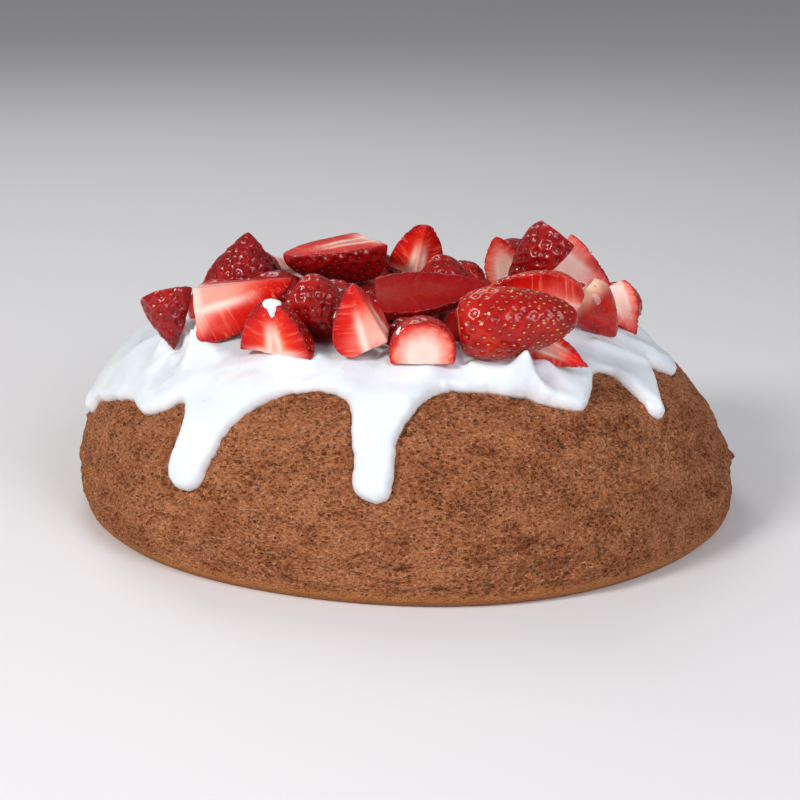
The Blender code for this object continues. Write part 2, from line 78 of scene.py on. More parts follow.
def quarter(start_turn, end_turn, steps, point):
    """Points of a curve given by a function of its turn, both ends included."""
    return [point(start_turn + (end_turn - start_turn) * step / steps) for step in range(steps + 1)]


def outer_side(turn):
    """The cake's side from the belly, at 0, to the crown, at a quarter turn."""
    radius = CROWN_RADIUS + (PAN_RADIUS - CROWN_RADIUS) * math.cos(turn)
    return radius, BELLY_HEIGHT + (CROWN_HEIGHT - BELLY_HEIGHT) * math.sin(turn)


def hole_lip(turn):
    """The rounded lip from the crown, at 0, down into the hole, at a quarter turn."""
    return (
        HOLE_RADIUS_TOP + HOLE_LIP * (1 - math.sin(turn)),
        CROWN_HEIGHT - HOLE_LIP * (1 - math.cos(turn)),
    )


def evenly(points, step):
    """The same line with its points a set step apart."""
    points = np.array(points)
    way = np.concatenate([[0.0], np.cumsum(np.hypot(*np.diff(points, axis=0).T))])
    marks = np.linspace(0.0, way[-1], max(2, round(way[-1] / step) + 1))
    return np.stack([np.interp(marks, way, points[:, 0]), np.interp(marks, way, points[:, 1])], 1)


def leaned(radius, angle, height):
    """A point of the section at an angle from the front: the crown sits a little off centre."""
    wave = sum(depth * np.sin(count * angle) for count, depth in SIDE_WAVES)
    radius = radius + wave * (radius / PAN_RADIUS) ** 2
    shift = LEAN * (height - BELLY_HEIGHT)
    return np.stack([radius * np.sin(angle) + shift, -radius * np.cos(angle), height], -1)


def ease(low, high, value):
    """0 below low, 1 above high, and a smooth step between them."""
    share = min(max((value - low) / (high - low), 0.0), 1.0)
    return share * share * (3 - 2 * share)


def lumps(place):
    """Slow swells of the baked foam, in mm, which the icing follows too."""
    level = Vector((place[0], place[1], place[2] * 1.6))
    return 1.5 * noise.noise(level / 31.0) + 0.4 * noise.noise(level / 12.0 + Vector((7, 3, 1)))


def crumb(place, angle):
    """Torn crumb at a place on the side: its height in mm, and how far down a pore or crease it is, which
    the crumb's colour paints as shade.
    """
    flat = Vector((place[0], place[1], place[2] * CRUMB_SQUAT))

    def above(start, full, size, shift=(0, 0, 0)):
        """Where swells of a size in mm are higher than start, up to 1 where they reach full."""
        return ease(start, full, noise.noise(flat / size + Vector(shift)))

    open_crumb = above(-0.3, 0.3, 15.0, (3, 9, 4))
    coarse = above(0.08, 0.5, 2.1) * (0.4 + 0.6 * open_crumb)
    fine = above(0.05, 0.45, 1.25, (5, 5, 5))
    torn = above(0.34, 0.6, 4.6, (1, 8, 2)) * (0.3 + 0.7 * open_crumb)
    grain = noise.noise(flat / 2.9 + Vector((2, 2, 9)))
    skin_edge = place[2] + 2.4 * noise.noise(flat / 9.0)
    above_foot = ease(FOOT_SKIN_HEIGHT - 2.0, FOOT_SKIN_HEIGHT + 3.5, skin_edge)
    belt = Vector((angle * 4.5, place[2] / 5.0, 4.0))
    split = ease(-0.1, 0.25, noise.noise(belt / 2.2 + Vector((9, 1, 1))))
    crease = max(0.0, 1 - abs(noise.noise(belt)) / 0.09) * split
    crease *= 0.35 + 0.65 * ease(42.0, 12.0, place[2])
    wrinkle = noise.noise(Vector((angle * 5.5, place[2] / 4.6, 1.5))) * ease(56.0, 22.0, place[2])
    pore_shade = min(1.0, 0.7 * coarse + 0.4 * fine + 0.7 * torn + 0.7 * crease) * above_foot
    height = 0.3 * grain + 1.7 * wrinkle - 0.9 * coarse - 0.4 * fine - 1.1 * torn - 1.4 * crease
    return height * above_foot, pore_shade


# Flaps of crumb that lifted as the pan's wall pulled away: azimuth, height, reach and lift in mm.
TORN_FLAPS = [
    (-88, 30, 3.2, 2.2),
    (-93, 22, 3.0, 1.6),
    (88, 17, 3.4, 2.4),
    (84, 24, 2.6, 1.2),
    (-63, 13, 2.8, 1.2),
    (30, 11, 3.0, 1.3),
    (132, 20, 3.2, 1.8),
    (-142, 27, 3.0, 1.6),
]


def flap(angles, places):
    """How far the torn flaps lift the side, in mm."""
    lift = np.zeros(len(angles))
    for azimuth, middle, reach, rise in TORN_FLAPS:
        aside = (angles - math.radians(azimuth)) * PAN_RADIUS * 0.5
        above = places[:, 2] - middle
        lift += rise * np.exp(-(aside / reach) ** 2 - (above / (0.45 * reach)) ** 2)
    return lift


def wrapped_grid(bm, columns, line):
    """A band of quads round the Z axis: columns turn about it, and rows follow the line."""
    old = set(bm.verts)
    bmesh.ops.create_grid(bm, x_segments=columns, y_segments=len(line) - 1, size=1.0)
    made = [vertex for vertex in bm.verts if vertex not in old]
    flat = np.array([vertex.co[:2] for vertex in made])
    angles = flat[:, 0] * math.pi
    rows = np.rint((flat[:, 1] + 1) / 2 * (len(line) - 1)).astype(int)
    places = leaned(line[rows, 0], angles, line[rows, 1])
    slope = np.gradient(line, axis=0)[rows]
    slope /= np.hypot(slope[:, 0], slope[:, 1])[:, None]
    outward = np.stack([slope[:, 1] * np.sin(angles), -slope[:, 1] * np.cos(angles), -slope[:, 0]], 1)
    return made, angles, places, outward


foot_line = [
    (FOOT_RADIUS - FOOT_TURN_IN, 0.0),
    (FOOT_RADIUS, 0.0),
    (FOOT_RADIUS + FOOT_BULGE, FOOT_BULGE_HEIGHT),
]
iced_turn = math.asin((ICED_FROM_HEIGHT - BELLY_HEIGHT) / (CROWN_HEIGHT - BELLY_HEIGHT))
torn_line = evenly(foot_line + quarter(0.0, iced_turn, 120, outer_side), CRUMB_STEP)
hidden_line = evenly(
    quarter(iced_turn, math.pi / 2, 12, outer_side)
    + quarter(0.0, math.pi / 2, 12, hole_lip)
    + [
        ((HOLE_RADIUS_FOOT + HOLE_RADIUS_TOP) / 2, 30.0),
        (HOLE_RADIUS_FOOT, HOLE_FOOT_EASE),
        (HOLE_RADIUS_FOOT + HOLE_FOOT_EASE, 0.0),
        (FOOT_RADIUS - FOOT_TURN_IN, 0.0),
    ],
    HIDDEN_STEP,
)[1:-1]

bm = bmesh.new()
pore_shade_of = bm.verts.layers.float.new("pore_shade")
for line, columns in ((torn_line, CRUMB_COLUMNS), (hidden_line, HIDDEN_COLUMNS)):
    made, angles, places, outward = wrapped_grid(bm, columns, line)
    for vertex, angle, place, out, lift in zip(made, angles, places, outward, flap(angles, places)):
        on_foot = place[2] < 0.01
        relief, pore_shade = (0.0, 0.0) if on_foot else crumb(place, angle)
        swell = 0.0 if on_foot else lift + lumps(place) * ease(0.0, 10.0, place[2])
        vertex.co = Vector(place + out * (relief + swell)) * MM
        vertex[pore_shade_of] = pore_shade
bmesh.ops.remove_doubles(bm, verts=bm.verts, dist=0.02 * MM)
rims = [edge for edge in bm.edges if edge.is_boundary]
for near_foot in (True, False):
    both = [edge for edge in rims if (edge.verts[0].co.z < 10 * MM) == near_foot]
    bmesh.ops.bridge_loops(bm, edges=both)
bmesh.ops.recalc_face_normals(bm, faces=bm.faces)


def placed(name, data):
    """A new object in the scene."""
    made = bpy.data.objects.new(name, data)
    bpy.context.scene.collection.objects.link(made)
    return made


def finished(bm, name, *materials):
    """Puts a bmesh into the scene as one smooth-shaded piece."""
    mesh = bpy.data.meshes.new(name)
    bm.to_mesh(mesh)
    bm.free()
    mesh.shade_smooth()
    for material in materials:
        mesh.materials.append(material)
    return placed(name, mesh)


def srgb(code):
    """A hex colour as the linear red, green, blue and alpha that a shader takes."""
    parts = [int(code[start:start + 2], 16) / 255 for start in (1, 3, 5)]
    linear = [part / 12.92 if part <= 0.04045 else ((part + 0.055) / 1.055) ** 2.4 for part in parts]
    return (*linear, 1.0)


def per_mm(size):
    """The scale at which a pattern on Object coordinates repeats about every size mm."""
    return 1000.0 / size


def set_inputs(tree, node, inputs):
    """Gives a node's sockets values, or links them to a socket or to a node's first output."""
    for name, value in inputs.items():
        if isinstance(value, bpy.types.Node):
            value = next(output for output in value.outputs if output.enabled)
        if isinstance(value, bpy.types.NodeSocket):
            tree.links.new(value, node.inputs[name])
        else:
            node.inputs[name].default_value = value


def add_node(tree, kind, inputs=None, stops=None, **settings):
    """Adds a shader node with its settings, the stops of its colour ramp, and its inputs."""
    node = tree.nodes.new("ShaderNode" + kind)
    for name, value in settings.items():
        setattr(node, name, value)
    if stops:
        while len(node.color_ramp.elements) < len(stops):
            node.color_ramp.elements.new(1.0)
        for element, (position, colour) in zip(node.color_ramp.elements, stops):
            element.position = position
            element.color = srgb(colour) if isinstance(colour, str) else (colour, colour, colour, 1.0)
    set_inputs(tree, node, inputs or {})
    return node


# The inputs of a Mix node that mixes colours.
FACTOR, FIRST, SECOND = 0, 6, 7


def new_material(name):
    """An empty Principled material, its node tree and its shader."""
    material = bpy.data.materials.new(name)
    material.use_nodes = True
    shader = material.node_tree.nodes["Principled BSDF"]
    return material, material.node_tree, shader


# Baked angel food crumb: dry, matt protein foam, browned by cocoa. Small round pits, left by the
# bubbles that the pan tore open, are painted darker as painted shade; they crowd where the crust
# came off and are few where it stayed on. The cell walls between them are painted paler as painted
# highlights, and the cells' hollows a little darker as painted shade.
PIT_SPACING = 1.8
BIG_PIT_SPACING = 4.6
PIT_WOBBLE = 3.4
PIT_DEPTH = 1.1
CELL_DEPTH = 2.2

sponge_material, tree, shader = new_material("baked_angel_food_crumb")
where = add_node(tree, "TexCoord").outputs["Object"]
squat = add_node(tree, "Mapping", {"Vector": where, "Scale": (1, 1, CRUMB_SQUAT)})
# The size in mm, detail and roughness of the patches of crust, the mottle in them, the bubbles'
# cells, and the wobble that keeps the pits from being round.
patches, mottle, cells, wobble = (
    add_node(
        tree, "TexNoise",
        {"Vector": squat, "Scale": per_mm(size), "Detail": detail, "Roughness": roughness},
    )
    for size, detail, roughness in ((26, 3.0, 0.55), (14, 3.0, 0.6), (1.3, 2.0, 0.6), (2.0, 3.0, 0.7))
)
wobbled = add_node(
    tree, "VectorMath", {0: wobble.outputs["Color"], 1: (PIT_WOBBLE * MM,) * 3, 2: squat},
    operation="MULTIPLY_ADD",
)
# The cells' tone paints their hollows darker, where the bump sinks: painted shade.
patch_colour, mottle_colour, cell_shade_tone = (
    add_node(tree, "ValToRGB", {"Fac": pattern}, stops=stops)
    for pattern, stops in (
        (patches, [(0.34, "#985B38"), (0.5, "#AA6A45"), (0.66, "#BC7D56")]),
        (mottle, [(0.36, "#9E613A"), (0.64, "#C2845C")]),
        (cells, [(0.36, "#FFFFFF"), (0.52, "#F0E0D6"), (0.70, "#AE8068")]),
    )
)
crumb_colour = add_node(
    tree, "Mix", {FACTOR: 0.45, FIRST: patch_colour, SECOND: mottle_colour}, data_type="RGBA",
)
crumb_colour = add_node(
    tree, "Mix", {FACTOR: 0.62, FIRST: crumb_colour, SECOND: cell_shade_tone},
    data_type="RGBA", blend_type="MULTIPLY",
)
# Painted highlight: the cell walls, where the cells' bump rises, are painted paler.
wall_highlight_share = add_node(
    tree, "MapRange", {"Value": cells, "From Min": 0.44, "From Max": 0.3, "To Max": 0.5},
)
kept_crust = add_node(
    tree, "MapRange", {"Value": mottle, "From Min": 0.36, "From Max": 0.66, "To Max": 0.17},
)
pit_shares = []
for spacing, edge, floor in ((PIT_SPACING, 0.46, 0.18), (BIG_PIT_SPACING, 0.27, 0.1)):
    bubbles = add_node(tree, "TexVoronoi", {"Vector": wobbled, "Scale": per_mm(spacing)})
    from_bubble = add_node(tree, "Math", {0: bubbles, 1: kept_crust}, operation="ADD")
    pit_shares.append(
        add_node(tree, "MapRange", {"Value": from_bubble, "From Min": edge, "From Max": floor})
    )
pits = add_node(tree, "Math", {0: pit_shares[0], 1: pit_shares[1]}, operation="MAXIMUM")
# Painted shade: the pits are painted darker.
pit_shade_share = add_node(tree, "Math", {0: pits, 1: 0.58}, operation="MULTIPLY")
pore_shade = add_node(tree, "Attribute", attribute_name="pore_shade").outputs["Fac"]
# Painted shade down the pores, tears and creases that the mesh carves.
pore_shade_share = add_node(tree, "Math", {0: pore_shade, 1: 0.26}, operation="MULTIPLY")
height = add_node(tree, "SeparateXYZ", {"Vector": where}).outputs["Z"]
wander = add_node(tree, "Math", {0: wobble, 1: 3.0 * MM, 2: height}, operation="MULTIPLY_ADD")
skin_share = add_node(
    tree, "MapRange",
    {
        "Value": wander, "From Min": (FOOT_SKIN_HEIGHT + 3.2) * MM,
        "From Max": (FOOT_SKIN_HEIGHT + 0.4) * MM, "To Max": 0.85,
    },
)
# Painted highlight on the cell walls, painted shade in the pits and down the pores and creases, and the
# paler skin round the foot.
for share, colour in (
    (wall_highlight_share, "#DCA680"), (pit_shade_share, "#70341C"), (pore_shade_share, "#6A3219"), (skin_share, "#B27242"),
):
    crumb_colour = add_node(
        tree, "Mix", {FACTOR: share, FIRST: crumb_colour, SECOND: srgb(colour)}, data_type="RGBA",
    )
torn = add_node(tree, "Math", {0: 1.0, 1: skin_share}, operation="SUBTRACT")
pit_height = add_node(tree, "Math", {0: pits, 1: torn}, operation="MULTIPLY")
pit_bump = add_node(tree, "Bump", {"Height": pit_height, "Distance": -PIT_DEPTH * MM})
cell_bump = add_node(
    tree, "Bump", {"Height": cells, "Distance": -CELL_DEPTH * MM, "Normal": pit_bump},
)
set_inputs(tree, shader, {
    "Base Color": crumb_colour, "Normal": cell_bump, "Roughness": 0.9, "IOR": 1.4,
    "Specular IOR Level": 0.25, "Subsurface Weight": 0.06, "Subsurface Radius": (1.0, 0.5, 0.25),
    "Subsurface Scale": 1.5 * MM,
})

sponge = finished(bm, "angel_food_sponge", sponge_material)
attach(sponge, "root")
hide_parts("cake")

# ---- Icing ---------------------------------------------------------------------------------
# Thick white glace icing, poured over the crown and pushed about with a spoon. It has run down
# the side in drips whose ends are fat and round, and it has a soft gloss.

ICING_STEP = 1.0
ICING_THICKNESS = 4.0
ICING_EDGE = 0.9
ICING_ROUND = 4.6
ICING_SUNK = -1.6
ICING_BLEND = 6.0
ICING_INNER_HEIGHT = 60.0
ICING_REACH_HEIGHT = 26.0
ICING_MARGIN = 24.0
COLLAR_HEIGHT = 64.3
COLLAR_WAVES = [(9, 0.5, 0), (5, 0.4, 1)]
TIP_BULGE = 1.1
TIP_SPREAD = 1.3
EDGE_STRAY = 0.9
SWELL_FOLLOWED = 0.9
SWELL_AT_EDGE = 0.8
THIN_WITHIN = 1.6

# Where the collar hangs lower: azimuth in degrees from the front, depth and half width.
COLLAR_SAGS = [
    (-88, 25.0, 34),
    (-54, 6.0, 7),
    (38, 7.0, 8.5),
    (80, 11.0, 8),
    (120, 6.0, 12),
    (160, 12.0, 11),
    (-158, 11.0, 13),
]

# Drips: azimuth of the root, azimuth and height of the tip, half width near the tip, how much
# wider the drip starts on its left and on its right, and how fast it draws in to that width.
DRIPS = [
    (-84, -85.3, 33.0, 4.8, 8.0, 8.0, 2.0),
    (-37.5, -38.4, 30.3, 7.6, 30.0, 19.0, 2.6),
    (-4.6, -4.5, 35.0, 6.8, 5.0, 13.0, 2.8),
    (66, 57.2, 48.1, 3.6, 13.0, 14.0, 1.1),
    (118, 116.0, 46.0, 5.5, 14.0, 10.0, 2.4),
    (138, 139.0, 33.0, 6.5, 12.0, 22.0, 2.6),
    (178, 180.0, 40.0, 5.5, 10.0, 12.0, 2.4),
    (-136, -135.0, 36.0, 6.5, 16.0, 12.0, 2.6),
    (-112, -114.0, 42.0, 5.5, 10.0, 14.0, 1.8),
]

side_line = quarter(0.0, math.pi / 2, 160, outer_side)[::-1]
lip_line = quarter(0.0, math.pi / 2, 40, hole_lip)[::-1]
route = np.array(
    [(HOLE_RADIUS_TOP - 0.5, CROWN_HEIGHT - 2 * HOLE_LIP)] + lip_line[:-1] + side_line
)
route_way = np.concatenate([[0.0], np.cumsum(np.hypot(*np.diff(route, axis=0).T))])
route_slope = np.gradient(route, route_way, axis=0)
route_slope /= np.hypot(route_slope[:, 0], route_slope[:, 1])[:, None]
crest = int(np.argmax(route[:, 1]))


def way_outside(height):
    """How far along the route from the hole the outer side comes down to a height."""
    return np.interp(-np.asarray(height), -route[crest:, 1], route_way[crest:])


def way_inside(height):
    """How far along the route the hole's wall comes up to a height."""
    return np.interp(height, route[:crest + 1, 1], route_way[:crest + 1])


def turn_from(azimuth, angle):
    """The shorter way round, in radians, from an azimuth in degrees to an angle in radians."""
    return (angle - np.radians(azimuth) + math.pi) % (2 * math.pi) - math.pi


def smooth_larger(a, b, blend):
    """The larger of two values, with the turn from one to the other smoothed over a blend."""
    share = np.maximum(blend - np.abs(a - b), 0.0) / blend
    return np.maximum(a, b) + share * share * blend / 4


def ragged(angle, way):
    """How far the icing's edge strays where it caught on the crumb, in mm."""
    stray = [
        noise.noise(Vector((math.cos(turn) * 16, math.sin(turn) * 16, step)))
        + 0.5 * noise.noise(Vector((math.cos(turn) * 40, math.sin(turn) * 40, 2.5 * step)))
        for turn, step in zip(np.ravel(angle), np.ravel(way) / 6.0)
    ]
    return EDGE_STRAY * np.reshape(stray, np.shape(angle))


def icing_reach(angle, way):
    """How far a point lies inside the icing's outer edge, in mm; negative past it."""
    waves = sum(depth * np.sin(count * angle + phase) for count, depth, phase in COLLAR_WAVES)
    edge = COLLAR_HEIGHT + waves
    for middle, depth, half in COLLAR_SAGS:
        aside = turn_from(middle, angle) / math.radians(half)
        edge = edge - depth * np.exp(-aside ** 2)
    inside = way_outside(edge) - way
    root_way = way_outside(COLLAR_HEIGHT)
    radius = np.interp(way, route_way, route[:, 0])
    for root, tip, tip_height, half, left_flare, right_flare, draw_in in DRIPS:
        tip_way = way_outside(tip_height) - half
        share = np.clip((way - root_way) / (tip_way - root_way), 0.0, 1.0)
        across = turn_from(root + (tip - root) * share, angle) * radius
        down = way - (root_way + (tip_way - root_way) * share)
        flare = np.where(across < 0, left_flare, right_flare) * (1 - share) ** draw_in
        reach = half + flare - np.hypot(across, down)
        inside = smooth_larger(inside, reach, ICING_BLEND)
    return inside + ragged(angle, way)


def inner_edge(angle):
    """How far along the route the icing starts inside the hole."""
    return way_inside(ICING_INNER_HEIGHT + 2.0 * np.sin(2 * angle + 1) + np.sin(5 * angle))


def unrolled(x, y):
    """Azimuth and way of a point of the flat sheet, whose rings are the cake's rings."""
    return np.arctan2(x, -y), np.hypot(x, y) - ICING_MARGIN


def inside_sheet(point):
    """How far a point of the flat sheet lies inside the icing's outer and inner edges."""
    angle, way = unrolled(point[..., 0], point[..., 1])
    return np.minimum(icing_reach(angle, way), way - inner_edge(angle))


def cut_sheet(bm, value):
    """Trims a flat sheet along the line where value is zero, and drops what is negative."""
    # Corners close to the line slide onto it, unless the value hardly changes there.
    points = np.array([vertex.co[:2] for vertex in bm.verts])
    marks = value(points)
    nudge = 0.05
    slide_within = 0.38 * ICING_STEP
    slope = np.stack([value(points + [nudge, 0]) - marks, value(points + [0, nudge]) - marks], 1) / nudge
    steep = (slope ** 2).sum(1)
    near = (np.abs(marks) < slide_within) & (steep > 0.2)
    points[near] -= slope[near] * (marks[near] / steep[near])[:, None]
    marks = value(points)
    marks[near] = 0.0
    for vertex, point in zip(bm.verts, points):
        vertex.co = (*point, 0.0)
    # Edges that still cross the line get a corner on it, in two closer and closer guesses.
    mark_of = dict(zip(bm.verts, marks))
    for edge in list(bm.edges):
        start, end = edge.verts
        if mark_of[start] * mark_of[end] < 0:
            share = mark_of[start] / (mark_of[start] - mark_of[end])
            for _ in range(2):
                here = float(value(np.array(start.co.lerp(end.co, share)[:2])))
                share = min(max(share - here / (mark_of[end] - mark_of[start]), 0.05), 0.95)
            fresh = bmesh.utils.edge_split(edge, start, share)[1]
            mark_of[fresh] = 0.0
    # Faces that the line crosses are split between those corners.
    for face in list(bm.faces):
        corners = face.verts[:]
        signs = [mark_of[corner] for corner in corners]
        if min(signs) < 0 < max(signs):
            last = signs.index(min(signs))
            first = last
            while signs[first] < 0:
                first -= 1
            while signs[last % len(signs)] < 0:
                last += 1
            bmesh.utils.face_split(face, corners[first], corners[last % len(signs)])
    past = [face for face in bm.faces if min(mark_of[vertex] for vertex in face.verts) < 0]
    bmesh.ops.delete(bm, geom=past, context="FACES")
    loose = [vertex for vertex in bm.verts if not vertex.link_faces]
    bmesh.ops.delete(bm, geom=loose, context="VERTS")
    for _ in range(4):
        close = [vertex for vertex in bm.verts if not vertex.is_boundary and mark_of[vertex] < 3.0]
        bmesh.ops.smooth_vert(
            bm, verts=close, factor=0.5, use_axis_x=True, use_axis_y=True, use_axis_z=False,
        )


def on_skin(angle, way, stand_off):
    """Points at a way along the route, moved out square to the cake's smooth shape, in mm."""
    radius, height, slope_r, slope_h = (
        np.interp(way, route_way, column) for column in (*route.T, *route_slope.T)
    )
    return leaned(radius - slope_h * stand_off, angle, height + slope_r * stand_off)


# Spoon marks: ridges in the icing from one azimuth and height to another, half width and rise.
# A hollow has a negative rise, and a short steep ridge is a peak that the lifted spoon drew up.
RIDGES = [
    ((44, 68), (52, 54), 3.4, 2.6),
    ((36, 67), (42, 60), 4.5, -1.0),
    ((60, 67), (71, 57), 3.0, 2.0),
    ((54, 67), (60, 60), 3.5, -1.1),
    ((25, 66), (33, 60), 4.5, 1.2),
    ((-66, 66), (-60, 54), 4.5, 1.2),
    ((-30, 67), (-38, 52), 5.0, 1.0),
    ((8, 68), (2, 62), 4.0, 1.0),
    ((110, 68), (117, 58), 4.0, 1.4),
    ((150, 68), (140, 56), 4.0, 1.3),
    ((-170, 68), (-160, 60), 4.0, 1.3),
    ((-125, 68), (-134, 56), 4.0, 1.4),
    ((-65, 65.5), (-66, 62), 3.0, 5.5),
    ((-54, 65.5), (-53, 62.5), 2.8, 6.0),
    ((-66, 66), (-49, 66), 2.8, 4.4),
    ((-60, 64), (-60, 60), 2.6, -1.6),
    ((28.5, 65), (30, 61), 3.8, 7.0),
    ((18, 67), (28, 65), 3.2, 3.8),
    ((29, 65), (40, 66), 2.8, 3.0),
    ((68, 69), (78, 58), 2.8, 3.2),
    ((84, 69), (90, 56), 3.0, 2.4),
    ((12, 67), (18, 60), 4.0, -0.9),
    ((-20, 66), (-24, 58), 5.0, -0.9),
    ((-74, 66), (-78, 56), 3.5, 1.4),
]


def spoon_marks(angle, way):
    """Soft ridges and hollows that the spoon left."""
    rise = np.zeros_like(angle)
    for (from_angle, from_height), (to_angle, to_height), half, lift in RIDGES:
        start_way, end_way = way_outside(from_height), way_outside(to_height)
        middle_radius = float(np.interp((start_way + end_way) / 2, route_way, route[:, 0]))
        along = np.array([math.radians(to_angle - from_angle) * middle_radius, end_way - start_way])
        length = float(np.hypot(*along))
        aside = turn_from(from_angle, angle) * middle_radius
        offset = np.stack([aside, way - start_way], -1)
        share = np.clip(offset @ along / length ** 2, 0.0, 1.0)
        away = np.hypot(*(offset - share[..., None] * along).T)
        rise += lift * np.exp(-(away / half) ** 2) * (1 - 0.6 * share)
    return rise


def berry_planes(node):
    """The face planes of a piece of fruit's frame solid, as outward normals and offsets in mm."""
    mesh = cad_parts[node].data
    normals = np.array([face.normal[:] for face in mesh.polygons])
    corners = np.array([mesh.vertices[face.vertices[0]].co[:] for face in mesh.polygons]) / MM
    return normals, (normals * corners).sum(1)


PRESS_REACH = 9.0
PRESS_RISE = 3.2
JUICE_REACH = 10.0
PAINTED_SHADE_TO = 74.0
PAINTED_SHADE_FADE = 12.0


def near_fruit(points):
    """How far the soft icing wells up round the fruit pressed into it, in mm, and its juice stain, which
    towards the middle is painted shade under the heap of fruit.
    """
    rise = np.zeros(len(points))
    juice_stain_and_shade = np.zeros(len(points))
    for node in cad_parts:
        if not node.startswith("strawberry"):
            continue
        low, high = (np.array(corner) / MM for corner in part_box(node))
        close = ((points > low - PRESS_REACH) & (points < high + PRESS_REACH)).all(1)
        if not close.any():
            continue
        normals, offsets = berry_planes(node)
        away = (points[close] @ normals.T - offsets).max(1)
        share = np.clip(1 - away / PRESS_REACH, 0.0, 1.0)
        rise[close] = np.maximum(rise[close], PRESS_RISE * share ** 2.4)
        juice_stain_and_shade[close] += np.clip(1 - away / JUICE_REACH, 0.0, 1.0) ** 2.0
    # Under the heap of fruit the icing is painted dark red: painted shade between the pieces.
    from_axis = np.hypot(points[:, 0] - LEAN * CROWN_HEIGHT, points[:, 1])
    juice_stain_and_shade += 1.6 * np.clip((PAINTED_SHADE_TO - from_axis) / PAINTED_SHADE_FADE, 0.0, 1.0)
    return rise, juice_stain_and_shade


sheet_half = ICING_MARGIN + float(way_outside(ICING_REACH_HEIGHT))
sheet_cells = round(2 * sheet_half / ICING_STEP)
bm = bmesh.new()
bmesh.ops.create_grid(bm, x_segments=sheet_cells, y_segments=sheet_cells, size=sheet_half)
points = np.array([vertex.co[:2] for vertex in bm.verts])
far = inside_sheet(points) < -2 * ICING_STEP
bmesh.ops.delete(bm, geom=[vertex for vertex, out in zip(list(bm.verts), far) if out], context="VERTS")
cut_sheet(bm, inside_sheet)

points = np.array([vertex.co[:2] for vertex in bm.verts])
angle, way = unrolled(points[:, 0], points[:, 1])
inside = np.maximum(inside_sheet(points), 0.0)
tip_rise = np.zeros(len(points))
for _, tip, tip_height, half, *_ in DRIPS:
    tip_way = way_outside(tip_height) - half
    radius = float(np.interp(tip_way, route_way, route[:, 0]))
    from_tip = np.hypot(turn_from(tip, angle) * radius, way - tip_way)
    tip_rise = np.maximum(tip_rise, TIP_BULGE * np.exp(-(from_tip / (TIP_SPREAD * half)) ** 2))
share = np.clip(inside / ICING_ROUND, 0.0, 1.0)
bead = np.sqrt(1 - (1 - share) ** 2)
skin = on_skin(angle, way, 0.0)
swell = np.array([lumps(place) + 0.35 * noise.noise(Vector(place) / 9.0) for place in skin])
edge_height = ICING_EDGE + SWELL_AT_EDGE * swell
pressed, juice_stain_and_shade = near_fruit(on_skin(angle, way, ICING_THICKNESS))
full = ICING_THICKNESS + tip_rise + spoon_marks(angle, way) + SWELL_FOLLOWED * swell + pressed
outer = on_skin(angle, way, edge_height + (full - edge_height) * bead)
inner = on_skin(angle, way, np.full(len(points), ICING_SUNK))

thin_of = bm.verts.layers.float.new("thin")
juice_stain_and_shade_of = bm.verts.layers.float.new("juice_stain_and_shade")
for vertex, place, depth, stained_and_shaded in zip(bm.verts, inner, inside, juice_stain_and_shade):
    vertex.co = Vector(place) * MM
    vertex[thin_of] = max(0.0, 1 - depth / THIN_WITHIN)
    vertex[juice_stain_and_shade_of] = stained_and_shaded
grown = bmesh.ops.extrude_face_region(bm, geom=bm.faces[:], use_keep_orig=True)["geom"]
tree_of_inner = kdtree.KDTree(len(inner))
for index, place in enumerate(inner):
    tree_of_inner.insert(Vector(place) * MM, index)
tree_of_inner.balance()
for vertex in (item for item in grown if isinstance(item, bmesh.types.BMVert)):
    index = tree_of_inner.find(vertex.co)[1]
    vertex.co = Vector(outer[index]) * MM
bmesh.ops.recalc_face_normals(bm, faces=bm.faces)

# Glace icing: icing sugar beaten with a little water, opaque white. It sets with a thin glossy
# crust over a body that light enters, so its shadows are soft and slightly cool. Near the fruit it
# is stained red with juice, and under the heap of fruit it is painted dark red as painted shade.
icing_material, tree, shader = new_material("white_glace_icing")
where = add_node(tree, "TexCoord").outputs["Object"]
drift = add_node(tree, "TexNoise", {"Vector": where, "Scale": per_mm(16), "Detail": 3.0})
thin, stained_and_shaded = (
    add_node(tree, "Attribute", attribute_name=name).outputs["Fac"] for name in ("thin", "juice_stain_and_shade")
)
icing_colour = add_node(tree, "ValToRGB", {"Fac": drift}, stops=[(0.35, "#DCE4EC"), (0.65, "#E8EEF3")])
thin_share = add_node(tree, "Math", {0: thin, 1: 0.35}, operation="MULTIPLY")
seep = add_node(tree, "Math", {0: drift, 1: 0.8, 2: stained_and_shaded}, operation="MULTIPLY_ADD")
stain_and_shade_share = add_node(
    tree, "MapRange", {"Value": seep, "From Min": 1.4, "From Max": 2.1, "To Max": 0.96},
    interpolation_type="SMOOTHSTEP",
)
# Thin edges take a warm tint. The juice stain near the fruit and the painted shade under the heap are dark
# red.
for share, colour in ((thin_share, "#E6D3CB"), (stain_and_shade_share, "#8E1A22")):
    icing_colour = add_node(
        tree, "Mix", {FACTOR: share, FIRST: icing_colour, SECOND: srgb(colour)}, data_type="RGBA",
    )
gloss = add_node(
    tree, "MapRange",
    {"Value": drift, "From Min": 0.3, "From Max": 0.7, "To Min": 0.26, "To Max": 0.36},
)
ripple = add_node(tree, "Bump", {"Height": drift, "Strength": 0.35, "Distance": 1.2 * MM})
set_inputs(tree, shader, {
    "Base Color": icing_colour, "Roughness": gloss, "Normal": ripple, "IOR": 1.48,
    "Subsurface Weight": 0.35, "Subsurface Radius": (1.0, 0.95, 0.9), "Subsurface Scale": 2.5 * MM,
})

icing = finished(bm, "poured_icing", icing_material)
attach(icing, "root")
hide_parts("icing")

# ---- Strawberries --------------------------------------------------------------------------
# Fresh strawberries, hulled and cut up with a knife. Outside they have a wet red skin drawn in
# at each seed; inside, red flesh with pale fibres round a pale ring and a softer core.

